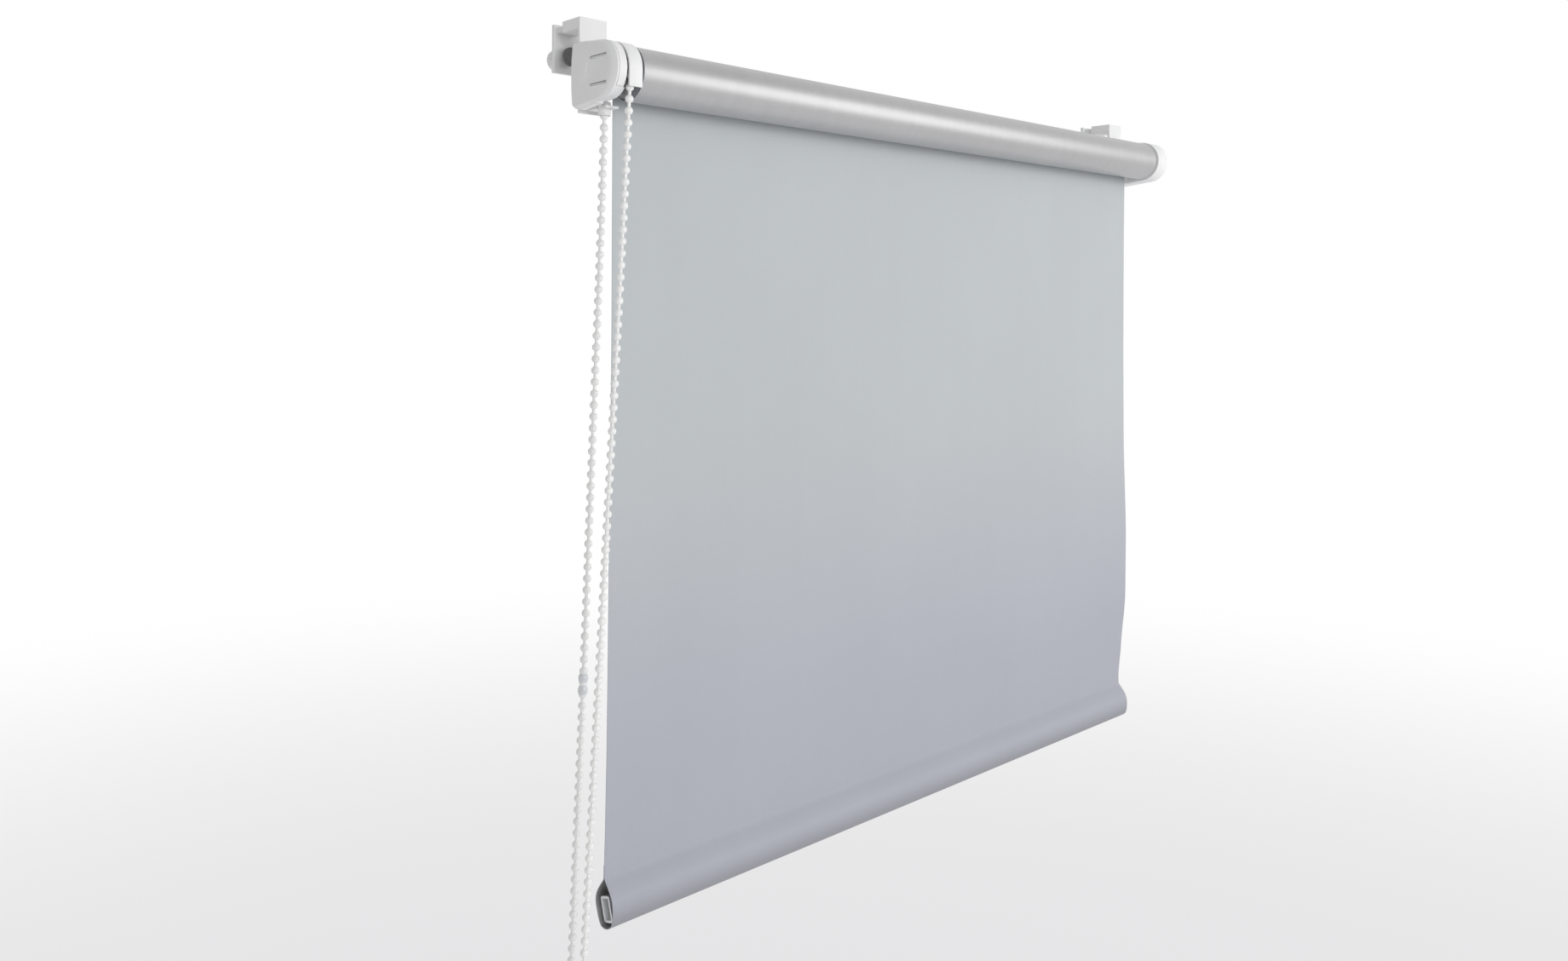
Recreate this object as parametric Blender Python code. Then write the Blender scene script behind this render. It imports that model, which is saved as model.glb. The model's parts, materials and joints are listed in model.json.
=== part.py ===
"""Clamp-on roller blind: chain clutch, fabric roll, hem bar, sprung idle end and two sash clamps.

Metres, +Z up. The origin is the middle of the front top edge of the window sash that the blind
hangs on: X runs along the roller, Y runs into the window, the sash face is the plane Y = 0 and
the sash top is the plane Z = 0.
"""

from math import cos, hypot, pi, radians, sin

import bmesh
import bpy
from mathutils import Vector

# Roller and fabric
AXIS_Y = -0.0281
AXIS_Z = -0.0263
FABRIC_HALF_WIDTH = 0.2490
FABRIC_THICKNESS = 0.00038
ROLL_RADIUS = 0.01437
ROLL_CORE_RADIUS = 0.0090
TUBE_RADIUS = 0.0085
TUBE_WALL = 0.0009
TUBE_HALF_LENGTH = 0.2497
STRIP_INNER_RADIUS = 0.00861
STRIP_OUTER_RADIUS = 0.00886
STRIP_ANGLE = radians(40)
SHEET_TOP = -0.0045
SHEET_BACK = 0.01436
SHEET_BOTTOM_SHIFT = 0.0027

# Hem pocket and its bar, measured from the roller axis
HEM_TAIL_TOP = -0.4137
HEM_APEX = (0.0165, -0.4207)
BAR_CENTRE = (0.0162, -0.4374)
BAR_SIZE = (0.0082, 0.0134)
BAR_WALL = 0.0013
BAR_CORNER = 0.0012
BAR_TILT = radians(18.5)
BAR_HALF_LENGTH = 0.2475

# D-shaped end housings
NOSE_RADIUS = 0.0153
HOUSING_HALF_HEIGHT = 0.0174
HOUSING_REAR_MIDDLE = 0.0254
HOUSING_REAR_EDGE = 0.0243
CORNER_RADIUS = 0.0025
SLOT_HEIGHT = 0.0070
SLOT_FRONT = -0.0070
SLOT_BACK = 0.0084
SLOT_HALF_WIDTH = 0.00075
DISH_CENTRE_Y = 0.0051
DISH_RADIUS = 0.0067
GUARD_FRONT_BOTTOM = -0.0091
GUARD_REAR_TOP = 0.0055
CAP_WALL = 0.0013
CAP_DEPTH = 0.0014
FACE_HEIGHT_SHARE = 0.96
FACE_DEPTH_SHARE = 0.90
COVER_OUTER_X = -0.2675
COVER_INNER_X = -0.2652
RIM_OUTER_X = -0.2649
PLATE_OUTER_X = -0.2638
PLATE_INNER_X = -0.2602
PLATE_INSET = 0.0023
RIM_INNER_X = -0.2606
RIM_WALL = 0.0018
NECK_INSET = 0.0011
NECK_INNER_X = -0.2597
LIP_INNER_X = -0.2585
GUARD_OUTER_X = -0.2590
GUARD_INNER_X = -0.2501
GUARD_FRONT_INNER_X = -0.2511
GUARD_WALL = 0.00115
MOUTH_REACH = 0.0200
TRIM_OUTER_X = -0.2700
TRIM_INNER_X = -0.2400
WINDOW_HALF_HEIGHT = 0.0074
WINDOW_FRONT = 0.0200
WINDOW_BACK = 0.0300
BLOCK_HALF_HEIGHT = 0.0070
BLOCK_OUTER_X = -0.2610
BLOCK_INNER_X = -0.2515
BLOCK_FRONT = 0.0160
BLOCK_BACK = 0.0255
CATCH_OUTER_X = -0.2668
CATCH_INNER_X = -0.2630
SCREW_BORE_RADIUS = 0.0018
OUTLET_RADIUS = 0.0033
OUTLET_BORE_RADIUS = 0.0027
OUTLET_TOP = -0.0140
OUTLET_BOTTOM = -0.0209
IDLE_OUTER_X = 0.2656
IDLE_INNER_X = 0.2510
IDLE_PLATE_THICKNESS = 0.0034
IDLE_BLOCK_END = 0.2620
PIN_SOCKET_RADIUS = 0.0052
PIN_SOCKET_END = 0.2612
PIN_BORE_RADIUS = 0.0027
PIN_BORE_END = 0.2598

# Clutch and roller fittings
CORE_RADIUS = 0.0040
CLIP_GROOVE_RADIUS = 0.0034
CORE_SCREW_RADIUS = 0.0015
WHEEL_RIM_RADIUS = 0.0126
WHEEL_GROOVE_RADIUS = 0.0089
WHEEL_SLEEVE_RADIUS = 0.0060
WHEEL_BORE_RADIUS = 0.0043
CLUTCH_SPRING_RADIUS = 0.0047
CLUTCH_SPRING_LENGTH = 0.0055
CLUTCH_SPRING_STARTS = {"outer": -0.2466, "inner": -0.2400}
CLUTCH_WIRE_RADIUS = 0.0004
PLUG_FLANGE_X = 0.2506
TUBE_FIT_X = 0.2500
IDLE_SPRING_START = 0.2256
IDLE_SPRING_LENGTH = 0.0138
IDLE_SPRING_RADIUS = 0.0019
IDLE_WIRE_RADIUS = 0.0003
POCKET_WALL = 0.0005

# Bead chain
CHAIN_X = -0.2558
BEAD_PITCH = 0.0060
CHAIN_RADIUS = 0.00225
SPROCKET_POCKETS = 12
CHAIN_END_GAP = 0.0003
CONNECTOR_TOP = -0.3100
CONNECTOR_LENGTH = 0.0115
CONNECTOR_RADIUS = 0.0027
CHAIN_POINT_STEP = 0.0160

# Chain holder on the sash below the blind
HOLDER_X = -0.2695
HOLDER_Y = -0.0151
HOLDER_Z = AXIS_Z - 0.5050
HOLDER_TURN = radians(-14)
HOLDER_POCKETS = 9
HOLDER_HALF_WIDTH = 0.0090
HOLDER_BASE_FRONT = -0.0034
HOLDER_BELOW = 0.0220
HOLDER_ABOVE = 0.0180
CHEEK_INNER = 0.0041
CHEEK_OUTER = 0.0056
CHEEK_RADIUS = 0.0055
CHEEK_ROOT = 0.0129
CHEEK_HALF_ROOT = 0.0085

# Sash clamps
CLAMP_X = 0.2535
CLAMP_HALF_WIDTH = 0.0085
CARRIER_FRONT = -0.0023
CARRIER_BACK = -0.0009
PAD_THICKNESS = 0.0006
CARRIER_BOTTOM = -0.0447
ARM_HEIGHT = 0.0060
ARM_END = 0.0145
TONGUE_START = 0.0060
SASH_THICKNESS = 0.0180
FOOT_THICKNESS = 0.0020
LEG_FRONT = 0.0225
LEG_BACK = 0.0250
LEG_BOTTOM = -0.0200
SCREW_HEIGHT = -0.0110
ARM_WALL = 0.0018
ARM_FLOOR = 0.0014
ARM_ROOF = 0.0012
PAD_MARGIN = 0.0010
KNOB_RADIUS = 0.0060
CLEARANCE = 0.0003

ROUND_STEPS = 48
PITCH_RADIUS = BEAD_PITCH / 2 / sin(pi / SPROCKET_POCKETS)
HOLDER_RADIUS = BEAD_PITCH / 2 / sin(pi / HOLDER_POCKETS)

# Colour, roughness and metallic value of each finish
FINISHES = {
    "white_plastic": ((0.86, 0.86, 0.85), 0.42, 0.0),
    "grey_plastic": ((0.30, 0.30, 0.31), 0.50, 0.0),
    "clear_plastic": ((0.72, 0.74, 0.76), 0.20, 0.0),
    "steel": ((0.62, 0.62, 0.60), 0.32, 1.0),
    "aluminium": ((0.75, 0.76, 0.77), 0.36, 1.0),
    "blind_fabric": ((0.56, 0.59, 0.63), 0.80, 0.0),
    "foil_fabric": ((0.72, 0.72, 0.73), 0.38, 0.4),
    "bead_white": ((0.88, 0.88, 0.88), 0.35, 0.0),
    "foam": ((0.18, 0.18, 0.18), 0.90, 0.0),
    "adhesive_tape": ((0.80, 0.76, 0.62), 0.60, 0.0),
}


def clear_scene():
    for obj in list(bpy.data.objects):
        bpy.data.objects.remove(obj)


def finish_of(name):
    """One Principled material per finish, made the first time it is asked for."""
    if name in bpy.data.materials:
        return bpy.data.materials[name]
    colour, roughness, metallic = FINISHES[name]
    material = bpy.data.materials.new(name)
    material.use_nodes = True
    shader = material.node_tree.nodes["Principled BSDF"]
    shader.inputs["Base Color"].default_value = (*colour, 1)
    shader.inputs["Roughness"].default_value = roughness
    shader.inputs["Metallic"].default_value = metallic
    return material


def empty(name, location, turn=0.0):
    frame = bpy.data.objects.new(name, None)
    frame.location = location
    frame.rotation_euler = (0, 0, turn)
    bpy.context.scene.collection.objects.link(frame)
    return frame


def place(name, mesh_or_curve, finish, parent):
    obj = bpy.data.objects.new(name, mesh_or_curve)
    obj.data.materials.append(finish_of(finish))
    obj.parent = parent
    bpy.context.scene.collection.objects.link(obj)
    return obj


def loft(name, loops, finish="white_plastic", parent=None, ring=False):
    """A closed solid through equal loops of points. A ring joins its last loop to its first."""
    builder = bmesh.new()
    rows = [[builder.verts.new(point) for point in loop] for loop in loops]
    pairs = list(zip(rows, rows[1:]))
    if ring:
        pairs.append((rows[-1], rows[0]))
    else:
        builder.faces.new(rows[0])
        builder.faces.new(rows[-1])
    for row, next_row in pairs:
        for index in range(len(row)):
            builder.faces.new((row[index - 1], row[index], next_row[index], next_row[index - 1]))
    bmesh.ops.recalc_face_normals(builder, faces=builder.faces)
    mesh = bpy.data.meshes.new(name)
    builder.to_mesh(mesh)
    builder.free()
    mesh.shade_smooth()
    mesh.set_sharp_from_angle(angle=radians(32))
    return place(name, mesh, finish, parent)


def turned(name, profile, finish="white_plastic", parent=None, ring=False, along="X",
           centre=(0, 0, 0), steps=ROUND_STEPS):
    """A turned solid. Each profile entry is a place along the axis and a radius there."""
    loops = []
    for distance, radius in profile:
        loop = []
        for step in range(steps):
            angle = 2 * pi * step / steps
            across = (radius * cos(angle), radius * sin(angle))
            point = {
                "X": (distance, across[0], across[1]),
                "Y": (across[0], distance, across[1]),
                "Z": (across[0], across[1], distance),
            }[along]
            loop.append(Vector(point) + Vector(centre))
        loops.append(loop)
    return loft(name, loops, finish, parent, ring)


def box(name, low, high, finish="white_plastic", parent=None, bevel=0.0):
    corners = [(low[0], low[1]), (high[0], low[1]), (high[0], high[1]), (low[0], high[1])]
    loops = [[(x, y, z) for x, y in corners] for z in (low[2], high[2])]
    obj = loft(name, loops, finish, parent)
    if bevel:
        edge = obj.modifiers.new("edges", "BEVEL")
        edge.width = bevel
        edge.segments = 2
    return obj


def boolean(target, other, operation):
    other.hide_render = True
    other.display_type = "WIRE"
    step = target.modifiers.new(other.name, "BOOLEAN")
    step.object = other
    step.operation = operation
    step.solver = "EXACT"


def cut(target, *cutters):
    for cutter in cutters:
        boolean(target, cutter, "DIFFERENCE")


def join(target, *pieces):
    for piece in pieces:
        boolean(target, piece, "UNION")


def arc(centre, radius, start, end, steps):
    """Points of an arc, both ends included."""
    return [
        (centre[0] + radius * cos(start + (end - start) * step / steps),
         centre[1] + radius * sin(start + (end - start) * step / steps))
        for step in range(steps + 1)
    ]


def d_outline(inset, straight_front=False):
    """The housings' D outline about the roller axis: a round nose that flares to a bowed back.

    With straight_front the nose runs straight down from the axis, clear of the front strand.
    """
    nose = NOSE_RADIUS - inset
    height = HOUSING_HALF_HEIGHT - inset
    rear = HOUSING_REAR_EDGE - inset
    corner = max(CORNER_RADIUS - inset, 0.0006)
    bow = HOUSING_REAR_MIDDLE - HOUSING_REAR_EDGE
    if straight_front:
        points = arc((0, 0), nose, radians(94), radians(180), 12)
        points += [(-nose, -height + 0.003), (-nose + 0.003, -height)]
    else:
        points = arc((0, 0), nose, radians(94), radians(266), 22)
    points += arc((rear - corner, corner - height), corner, radians(-86), radians(-4), 3)
    points += [(rear + bow * 0.75, -height / 2), (rear + bow, 0), (rear + bow * 0.75, height / 2)]
    points += arc((rear - corner, height - corner), corner, radians(4), radians(86), 3)
    return points


def d_solid(name, sections, parent=None, ring=False, straight_front=False):
    """A D-shaped solid through sections that each give a place along X and an inset."""
    loops = [[(x, y, z) for y, z in d_outline(inset, straight_front)] for x, inset in sections]
    return loft(name, loops, "white_plastic", parent, ring)


def prism(name, outline, half_length, finish, parent):
    """An outline in Y and Z, drawn out both ways along X."""
    loops = [[(x, y, z) for y, z in outline] for x in (-half_length, half_length)]
    return loft(name, loops, finish, parent)


def wire(name, points, radius, finish, parent=None, resolution=2):
    """A round wire or cord along a polyline, closed at both ends."""
    curve = bpy.data.curves.new(name, "CURVE")
    curve.dimensions = "3D"
    curve.bevel_depth = radius
    curve.bevel_resolution = resolution
    curve.use_fill_caps = True
    spline = curve.splines.new("POLY")
    spline.points.add(len(points) - 1)
    for target, point in zip(spline.points, points):
        target.co = (*point, 1)
    return place(name, curve, finish, parent)


def spring(name, start, length, radius, wire_radius, turns, parent):
    """A round wire spring about the roller axis."""
    steps = int(turns * 14)
    points = []
    for step in range(steps + 1):
        angle = 2 * pi * turns * step / steps
        points.append((start + length * step / steps, radius * cos(angle), radius * sin(angle)))
    return wire(name, points, wire_radius, "steel", parent, resolution=1)


# Control end


def cap_face_loop(x, outward):
    """The smaller flat face of an end cap: its back edge stays, its nose is rounded away."""
    return [
        (x, HOUSING_REAR_EDGE - (HOUSING_REAR_EDGE - y) * (1 - (1 - FACE_DEPTH_SHARE) * outward),
         z * (1 - (1 - FACE_HEIGHT_SHARE) * outward))
        for y, z in d_outline(0.0003)
    ]


def end_cap(name, face, rim, axis):
    """A hollow cap that is open towards the blind, with its face at the outer end."""
    inward = 1 if rim > face else -1
    loops = [
        cap_face_loop(face, 1.0),
        cap_face_loop(face + inward * 0.0003, 0.75),
        cap_face_loop(face + inward * 0.0008, 0.35),
    ]
    for x, inset in (
        (face + inward * 0.0015, 0), (rim, 0), (rim, CAP_WALL),
        (face + inward * CAP_DEPTH, CAP_WALL),
    ):
        loops.append([(x, y, z) for y, z in d_outline(inset)])
    return loft(name, loops, parent=axis)


def control_cover(axis):
    """End cap with two catch slots and a round shallow dish between them."""
    face = COVER_OUTER_X
    cover = end_cap("control_cover", face, COVER_INNER_X, axis)
    for side in (-1, 1):
        middle = side * SLOT_HEIGHT
        cut(cover, box(f"cover_slot_{side}", (face - 0.001, SLOT_FRONT, middle - SLOT_HALF_WIDTH),
                       (face + 0.002, SLOT_BACK, middle + SLOT_HALF_WIDTH), parent=axis))
    cut(cover, turned("cover_dish", [(face - 0.001, DISH_RADIUS), (face + 0.0003, DISH_RADIUS)],
                      centre=(0, DISH_CENTRE_Y, 0), parent=axis))


def front_mouth(name, axis):
    """Cutter for the open stretch below the nose, where the front strand comes out."""
    return box(name, (TRIM_OUTER_X, -MOUTH_REACH, -MOUTH_REACH),
               (TRIM_INNER_X, GUARD_REAR_TOP, GUARD_FRONT_BOTTOM), parent=axis)


def chain_guard(axis):
    """Hood round the chain wheel. Its front stops short, and the rear strand has an outlet."""
    guard = d_solid("chain_guard", [
        (GUARD_OUTER_X, 0), (GUARD_INNER_X, 0), (GUARD_INNER_X, GUARD_WALL),
        (GUARD_OUTER_X, GUARD_WALL),
    ], axis, ring=True, straight_front=True)
    window = WINDOW_HALF_HEIGHT
    cut(
        guard,
        front_mouth("guard_mouth", axis),
        box("guard_window", (TRIM_OUTER_X, WINDOW_FRONT, -window),
            (BLOCK_INNER_X + CLEARANCE, WINDOW_BACK, window), parent=axis),
        box("guard_front_trim", (GUARD_FRONT_INNER_X, -MOUTH_REACH, -MOUTH_REACH),
            (TRIM_INNER_X, WINDOW_FRONT - 0.001, MOUTH_REACH), parent=axis),
        turned("guard_outlet", [(-0.03, 0.0037), (-0.01, 0.0037)], along="Z",
               centre=(CHAIN_X, PITCH_RADIUS, 0), parent=axis, steps=24),
    )


def control_housing(axis):
    """Base plate with its rim and neck, the catch blades, the screw block and the outlet."""
    plate = PLATE_INSET
    inner = PLATE_INSET + CLEARANCE
    housing = d_solid("control_housing", [(PLATE_OUTER_X, plate), (PLATE_INNER_X, plate)], axis)
    rim = d_solid("housing_rim", [
        (RIM_OUTER_X, 0), (RIM_INNER_X, 0), (RIM_INNER_X, RIM_WALL), (RIM_OUTER_X, RIM_WALL),
    ], axis, ring=True)
    cut(rim, front_mouth("rim_mouth", axis))
    neck_outer = RIM_OUTER_X + 0.0001
    neck = d_solid("housing_neck", [
        (neck_outer, NECK_INSET), (NECK_INNER_X, NECK_INSET), (NECK_INNER_X, inner),
        (neck_outer, inner),
    ], axis, ring=True)
    lip_outer = RIM_OUTER_X + 0.0005
    lip = d_solid("housing_lip", [
        (lip_outer, NECK_INSET + 0.0002), (LIP_INNER_X, NECK_INSET + 0.0002),
        (LIP_INNER_X, plate - 0.0002), (lip_outer, plate - 0.0002),
    ], axis, ring=True)
    cut(
        lip,
        box("lip_top_trim", (TRIM_OUTER_X, -MOUTH_REACH, GUARD_FRONT_BOTTOM - CLEARANCE),
            (TRIM_INNER_X, WINDOW_BACK, MOUTH_REACH), parent=axis),
        box("lip_back_trim", (TRIM_OUTER_X, GUARD_REAR_TOP - CLEARANCE, -MOUTH_REACH),
            (TRIM_INNER_X, WINDOW_BACK, MOUTH_REACH), parent=axis),
    )
    join(housing, rim, neck, lip)
    for side in (-1, 1):
        middle = side * SLOT_HEIGHT
        blade = SLOT_HALF_WIDTH - CLEARANCE - 0.00005
        join(housing, box(
            f"catch_{side}", (CATCH_OUTER_X, SLOT_FRONT + 0.0005, middle - blade),
            (CATCH_INNER_X, SLOT_BACK - 0.0005, middle + blade), parent=axis))
    join(
        housing,
        box("screw_block", (BLOCK_OUTER_X, BLOCK_FRONT, -BLOCK_HALF_HEIGHT),
            (BLOCK_INNER_X, BLOCK_BACK, BLOCK_HALF_HEIGHT), parent=axis),
        box("outlet_arm", (BLOCK_OUTER_X, 0.0090, -0.0152), (-0.2578, 0.0142, -0.0135),
            parent=axis),
        turned("outlet", [(OUTLET_BOTTOM, OUTLET_RADIUS), (OUTLET_TOP, OUTLET_RADIUS)],
               along="Z", centre=(CHAIN_X, PITCH_RADIUS, 0), parent=axis, steps=24),
    )
    bore = SCREW_BORE_RADIUS
    cut(
        housing,
        turned("outlet_bore", [(OUTLET_BOTTOM - 0.0011, OUTLET_BORE_RADIUS),
                               (OUTLET_TOP + 0.001, OUTLET_BORE_RADIUS)],
               along="Z", centre=(CHAIN_X, PITCH_RADIUS, 0), parent=axis, steps=24),
        turned("core_screw_bore", [(TRIM_OUTER_X, bore), (-0.25, bore)], parent=axis, steps=24),
        bracket_screw_bore("left_block_bore", -CLAMP_X, axis),
    )


def bracket_screw_bore(name, x, axis):
    ends = (BLOCK_FRONT + 0.0015, BLOCK_BACK + 0.001)
    return turned(name, [(y, SCREW_BORE_RADIUS) for y in ends], along="Y", centre=(x, 0, 0),
                  parent=axis, steps=24)


def clutch(axis):
    """Fixed core with the screw that holds it and the clip in its groove."""
    bore = SCREW_BORE_RADIUS
    core = turned("clutch_core", [
        (-0.2599, bore), (-0.2599, CORE_RADIUS), (-0.2259, CORE_RADIUS),
        (-0.2259, CLIP_GROOVE_RADIUS), (-0.2245, CLIP_GROOVE_RADIUS), (-0.2245, CORE_RADIUS),
        (-0.2235, CORE_RADIUS), (-0.2230, CORE_RADIUS - 0.0005),
    ], "grey_plastic", axis)
    cut(core, turned("core_bore", [(TRIM_OUTER_X, bore), (-0.2460, bore)], parent=axis, steps=24))
    turned("core_screw", [
        (-0.2656, 0.0024), (-0.2653, 0.0028), (-0.2641, 0.0028), (-0.2641, CORE_SCREW_RADIUS),
        (-0.2480, CORE_SCREW_RADIUS), (-0.2470, 0.0008),
    ], "steel", axis, steps=24)
    turned("core_clip", [(-0.2256, 0.0037), (-0.2256, 0.0060), (-0.2248, 0.0060),
                         (-0.2248, 0.0037)], "steel", axis, ring=True, steps=32)


def chain_wheel(axis):
    """Chain wheel with a smooth groove, its sleeve, and the springs that turn with it."""
    rim = WHEEL_RIM_RADIUS
    groove = WHEEL_GROOVE_RADIUS
    sleeve = WHEEL_SLEEVE_RADIUS
    bore = WHEEL_BORE_RADIUS
    turned("chain_sprocket", [
        (-0.2595, bore), (-0.2595, rim), (-0.2588, rim), (-0.2581, groove), (-0.2535, groove),
        (-0.2528, rim), (-0.2519, rim), (-0.2519, sleeve), (-0.2475, sleeve), (-0.2475, bore),
    ], "grey_plastic", axis, ring=True)
    for which, start in CLUTCH_SPRING_STARTS.items():
        spring(f"clutch_spring_{which}", start, CLUTCH_SPRING_LENGTH, CLUTCH_SPRING_RADIUS,
               CLUTCH_WIRE_RADIUS, 5, axis)


# Roller


def roller(axis):
    bore = TUBE_RADIUS - TUBE_WALL
    sleeve = WHEEL_SLEEVE_RADIUS + CLEARANCE
    turned("drive_hub", [
        (-PLUG_FLANGE_X, sleeve), (-PLUG_FLANGE_X, TUBE_RADIUS), (-TUBE_FIT_X, TUBE_RADIUS),
        (-TUBE_FIT_X, bore - CLEARANCE), (-0.2262, bore - CLEARANCE), (-0.2262, 0.0054),
        (-0.2472, 0.0054), (-0.2472, sleeve),
    ], "grey_plastic", axis, ring=True)
    turned("roller_tube", [
        (-TUBE_HALF_LENGTH, bore), (-TUBE_HALF_LENGTH, TUBE_RADIUS),
        (TUBE_HALF_LENGTH, TUBE_RADIUS), (TUBE_HALF_LENGTH, bore),
    ], "aluminium", axis, ring=True)
    outline = arc((0, 0), STRIP_OUTER_RADIUS, 0, STRIP_ANGLE, 8)
    outline += arc((0, 0), STRIP_INNER_RADIUS, STRIP_ANGLE, 0, 8)
    prism("adhesive_strip", outline, FABRIC_HALF_WIDTH - 0.001, "adhesive_tape", axis)
    turned("wound_fabric", [
        (-FABRIC_HALF_WIDTH, ROLL_CORE_RADIUS), (-FABRIC_HALF_WIDTH, ROLL_RADIUS),
        (FABRIC_HALF_WIDTH, ROLL_RADIUS), (FABRIC_HALF_WIDTH, ROLL_CORE_RADIUS),
    ], "foil_fabric", axis, ring=True, steps=64)
    turned("idle_plug", [
        (0.2220, bore - CLEARANCE), (TUBE_FIT_X, bore - CLEARANCE), (TUBE_FIT_X, TUBE_RADIUS),
        (PLUG_FLANGE_X, TUBE_RADIUS), (PLUG_FLANGE_X, PIN_BORE_RADIUS),
        (0.2250, PIN_BORE_RADIUS),
    ], "grey_plastic", axis)
    spring("idle_spring", IDLE_SPRING_START, IDLE_SPRING_LENGTH, IDLE_SPRING_RADIUS,
           IDLE_WIRE_RADIUS, 8, axis)


def idle_pin(axis):
    turned("idle_pin", [
        (0.2400, 0.0018), (0.2406, 0.0024), (0.2570, 0.0024), (0.2580, 0.0016),
    ], "steel", axis, steps=32)


# Hanging fabric and hem


def hanging_fabric(axis):
    front = SHEET_BACK - FABRIC_THICKNESS
    bottom = HEM_TAIL_TOP + CLEARANCE
    outline = [
        (front, SHEET_TOP), (SHEET_BACK, SHEET_TOP),
        (SHEET_BACK + SHEET_BOTTOM_SHIFT, bottom), (front + SHEET_BOTTOM_SHIFT, bottom),
    ]
    prism("hanging_fabric", outline, FABRIC_HALF_WIDTH, "blind_fabric", axis)


def pocket_outline(inset):
    """The teardrop of the hem pocket, from its apex down the front and up the back."""
    outline = [
        HEM_APEX, (0.0124, -0.4249), (0.0094, -0.4288), (0.0082, -0.4325), (0.0080, -0.4370),
        (0.0084, -0.4408), (0.0096, -0.4437), (0.0121, -0.4459), (0.0157, -0.4470),
        (0.0188, -0.4466), (0.0210, -0.4441), (0.0227, -0.4405), (0.0241, -0.4361),
        (0.0242, -0.4327), (0.0229, -0.4290), (0.0200, -0.4249),
    ]
    middle = BAR_CENTRE
    inner = []
    for y, z in outline:
        reach = hypot(y - middle[0], z - middle[1])
        share = (reach - inset) / reach
        inner.append((middle[0] + (y - middle[0]) * share, middle[1] + (z - middle[1]) * share))
    return inner


def bar_outline(inset):
    """The hem bar's rounded rectangle, tilted about its middle."""
    half_y = BAR_SIZE[0] / 2 - inset
    half_z = BAR_SIZE[1] / 2 - inset
    corner = max(BAR_CORNER - inset, 0.0004)
    points = []
    for quarter, (side_y, side_z) in enumerate([(1, 1), (-1, 1), (-1, -1), (1, -1)]):
        centre = (side_y * (half_y - corner), side_z * (half_z - corner))
        points += arc(centre, corner, quarter * pi / 2, (quarter + 1) * pi / 2, 3)
    turn = -BAR_TILT
    return [
        (BAR_CENTRE[0] + y * cos(turn) - z * sin(turn),
         BAR_CENTRE[1] + y * sin(turn) + z * cos(turn))
        for y, z in points
    ]


def hem(axis):
    pocket = prism("hem_pocket", pocket_outline(0), FABRIC_HALF_WIDTH, "blind_fabric", axis)
    apex_y, apex_z = HEM_APEX
    tail = FABRIC_THICKNESS
    join(pocket, box("hem_tail", (-FABRIC_HALF_WIDTH, apex_y - tail, apex_z - 0.0009),
                     (FABRIC_HALF_WIDTH, apex_y + tail, HEM_TAIL_TOP), parent=axis))
    cut(pocket, prism("pocket_inside", pocket_outline(POCKET_WALL), FABRIC_HALF_WIDTH + 0.001,
                      "blind_fabric", axis))
    loops = []
    for x, inset in ((-BAR_HALF_LENGTH, 0), (BAR_HALF_LENGTH, 0),
                     (BAR_HALF_LENGTH, BAR_WALL), (-BAR_HALF_LENGTH, BAR_WALL)):
        loops.append([(x, y, z) for y, z in bar_outline(inset)])
    loft("hem_bar", loops, "aluminium", axis, ring=True)


# Idle end


def idle_end(axis):
    inner = IDLE_INNER_X
    plate = IDLE_INNER_X + IDLE_PLATE_THICKNESS
    bracket = d_solid("idle_bracket", [(inner, 0.0006), (inner + 0.0005, 0), (plate, 0)], axis)
    join(
        bracket,
        turned("pin_socket", [(plate - 0.0014, PIN_SOCKET_RADIUS),
                              (PIN_SOCKET_END, PIN_SOCKET_RADIUS)], parent=axis),
        box("idle_screw_block", (plate - 0.0014, BLOCK_FRONT, -BLOCK_HALF_HEIGHT),
            (IDLE_BLOCK_END, BLOCK_BACK, BLOCK_HALF_HEIGHT), parent=axis),
    )
    cut(
        bracket,
        turned("pin_bore", [(inner - 0.001, PIN_BORE_RADIUS), (PIN_BORE_END, PIN_BORE_RADIUS)],
               parent=axis, steps=32),
        bracket_screw_bore("right_block_bore", CLAMP_X, axis),
    )
    rim = plate + CLEARANCE
    window = WINDOW_HALF_HEIGHT
    cover = end_cap("idle_cover", IDLE_OUTER_X, rim, axis)
    cut(cover, box("idle_window", (rim - 0.001, WINDOW_FRONT, -window),
                   (IDLE_BLOCK_END + 0.0004, WINDOW_BACK, window), parent=axis))


# Sash clamps


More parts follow.
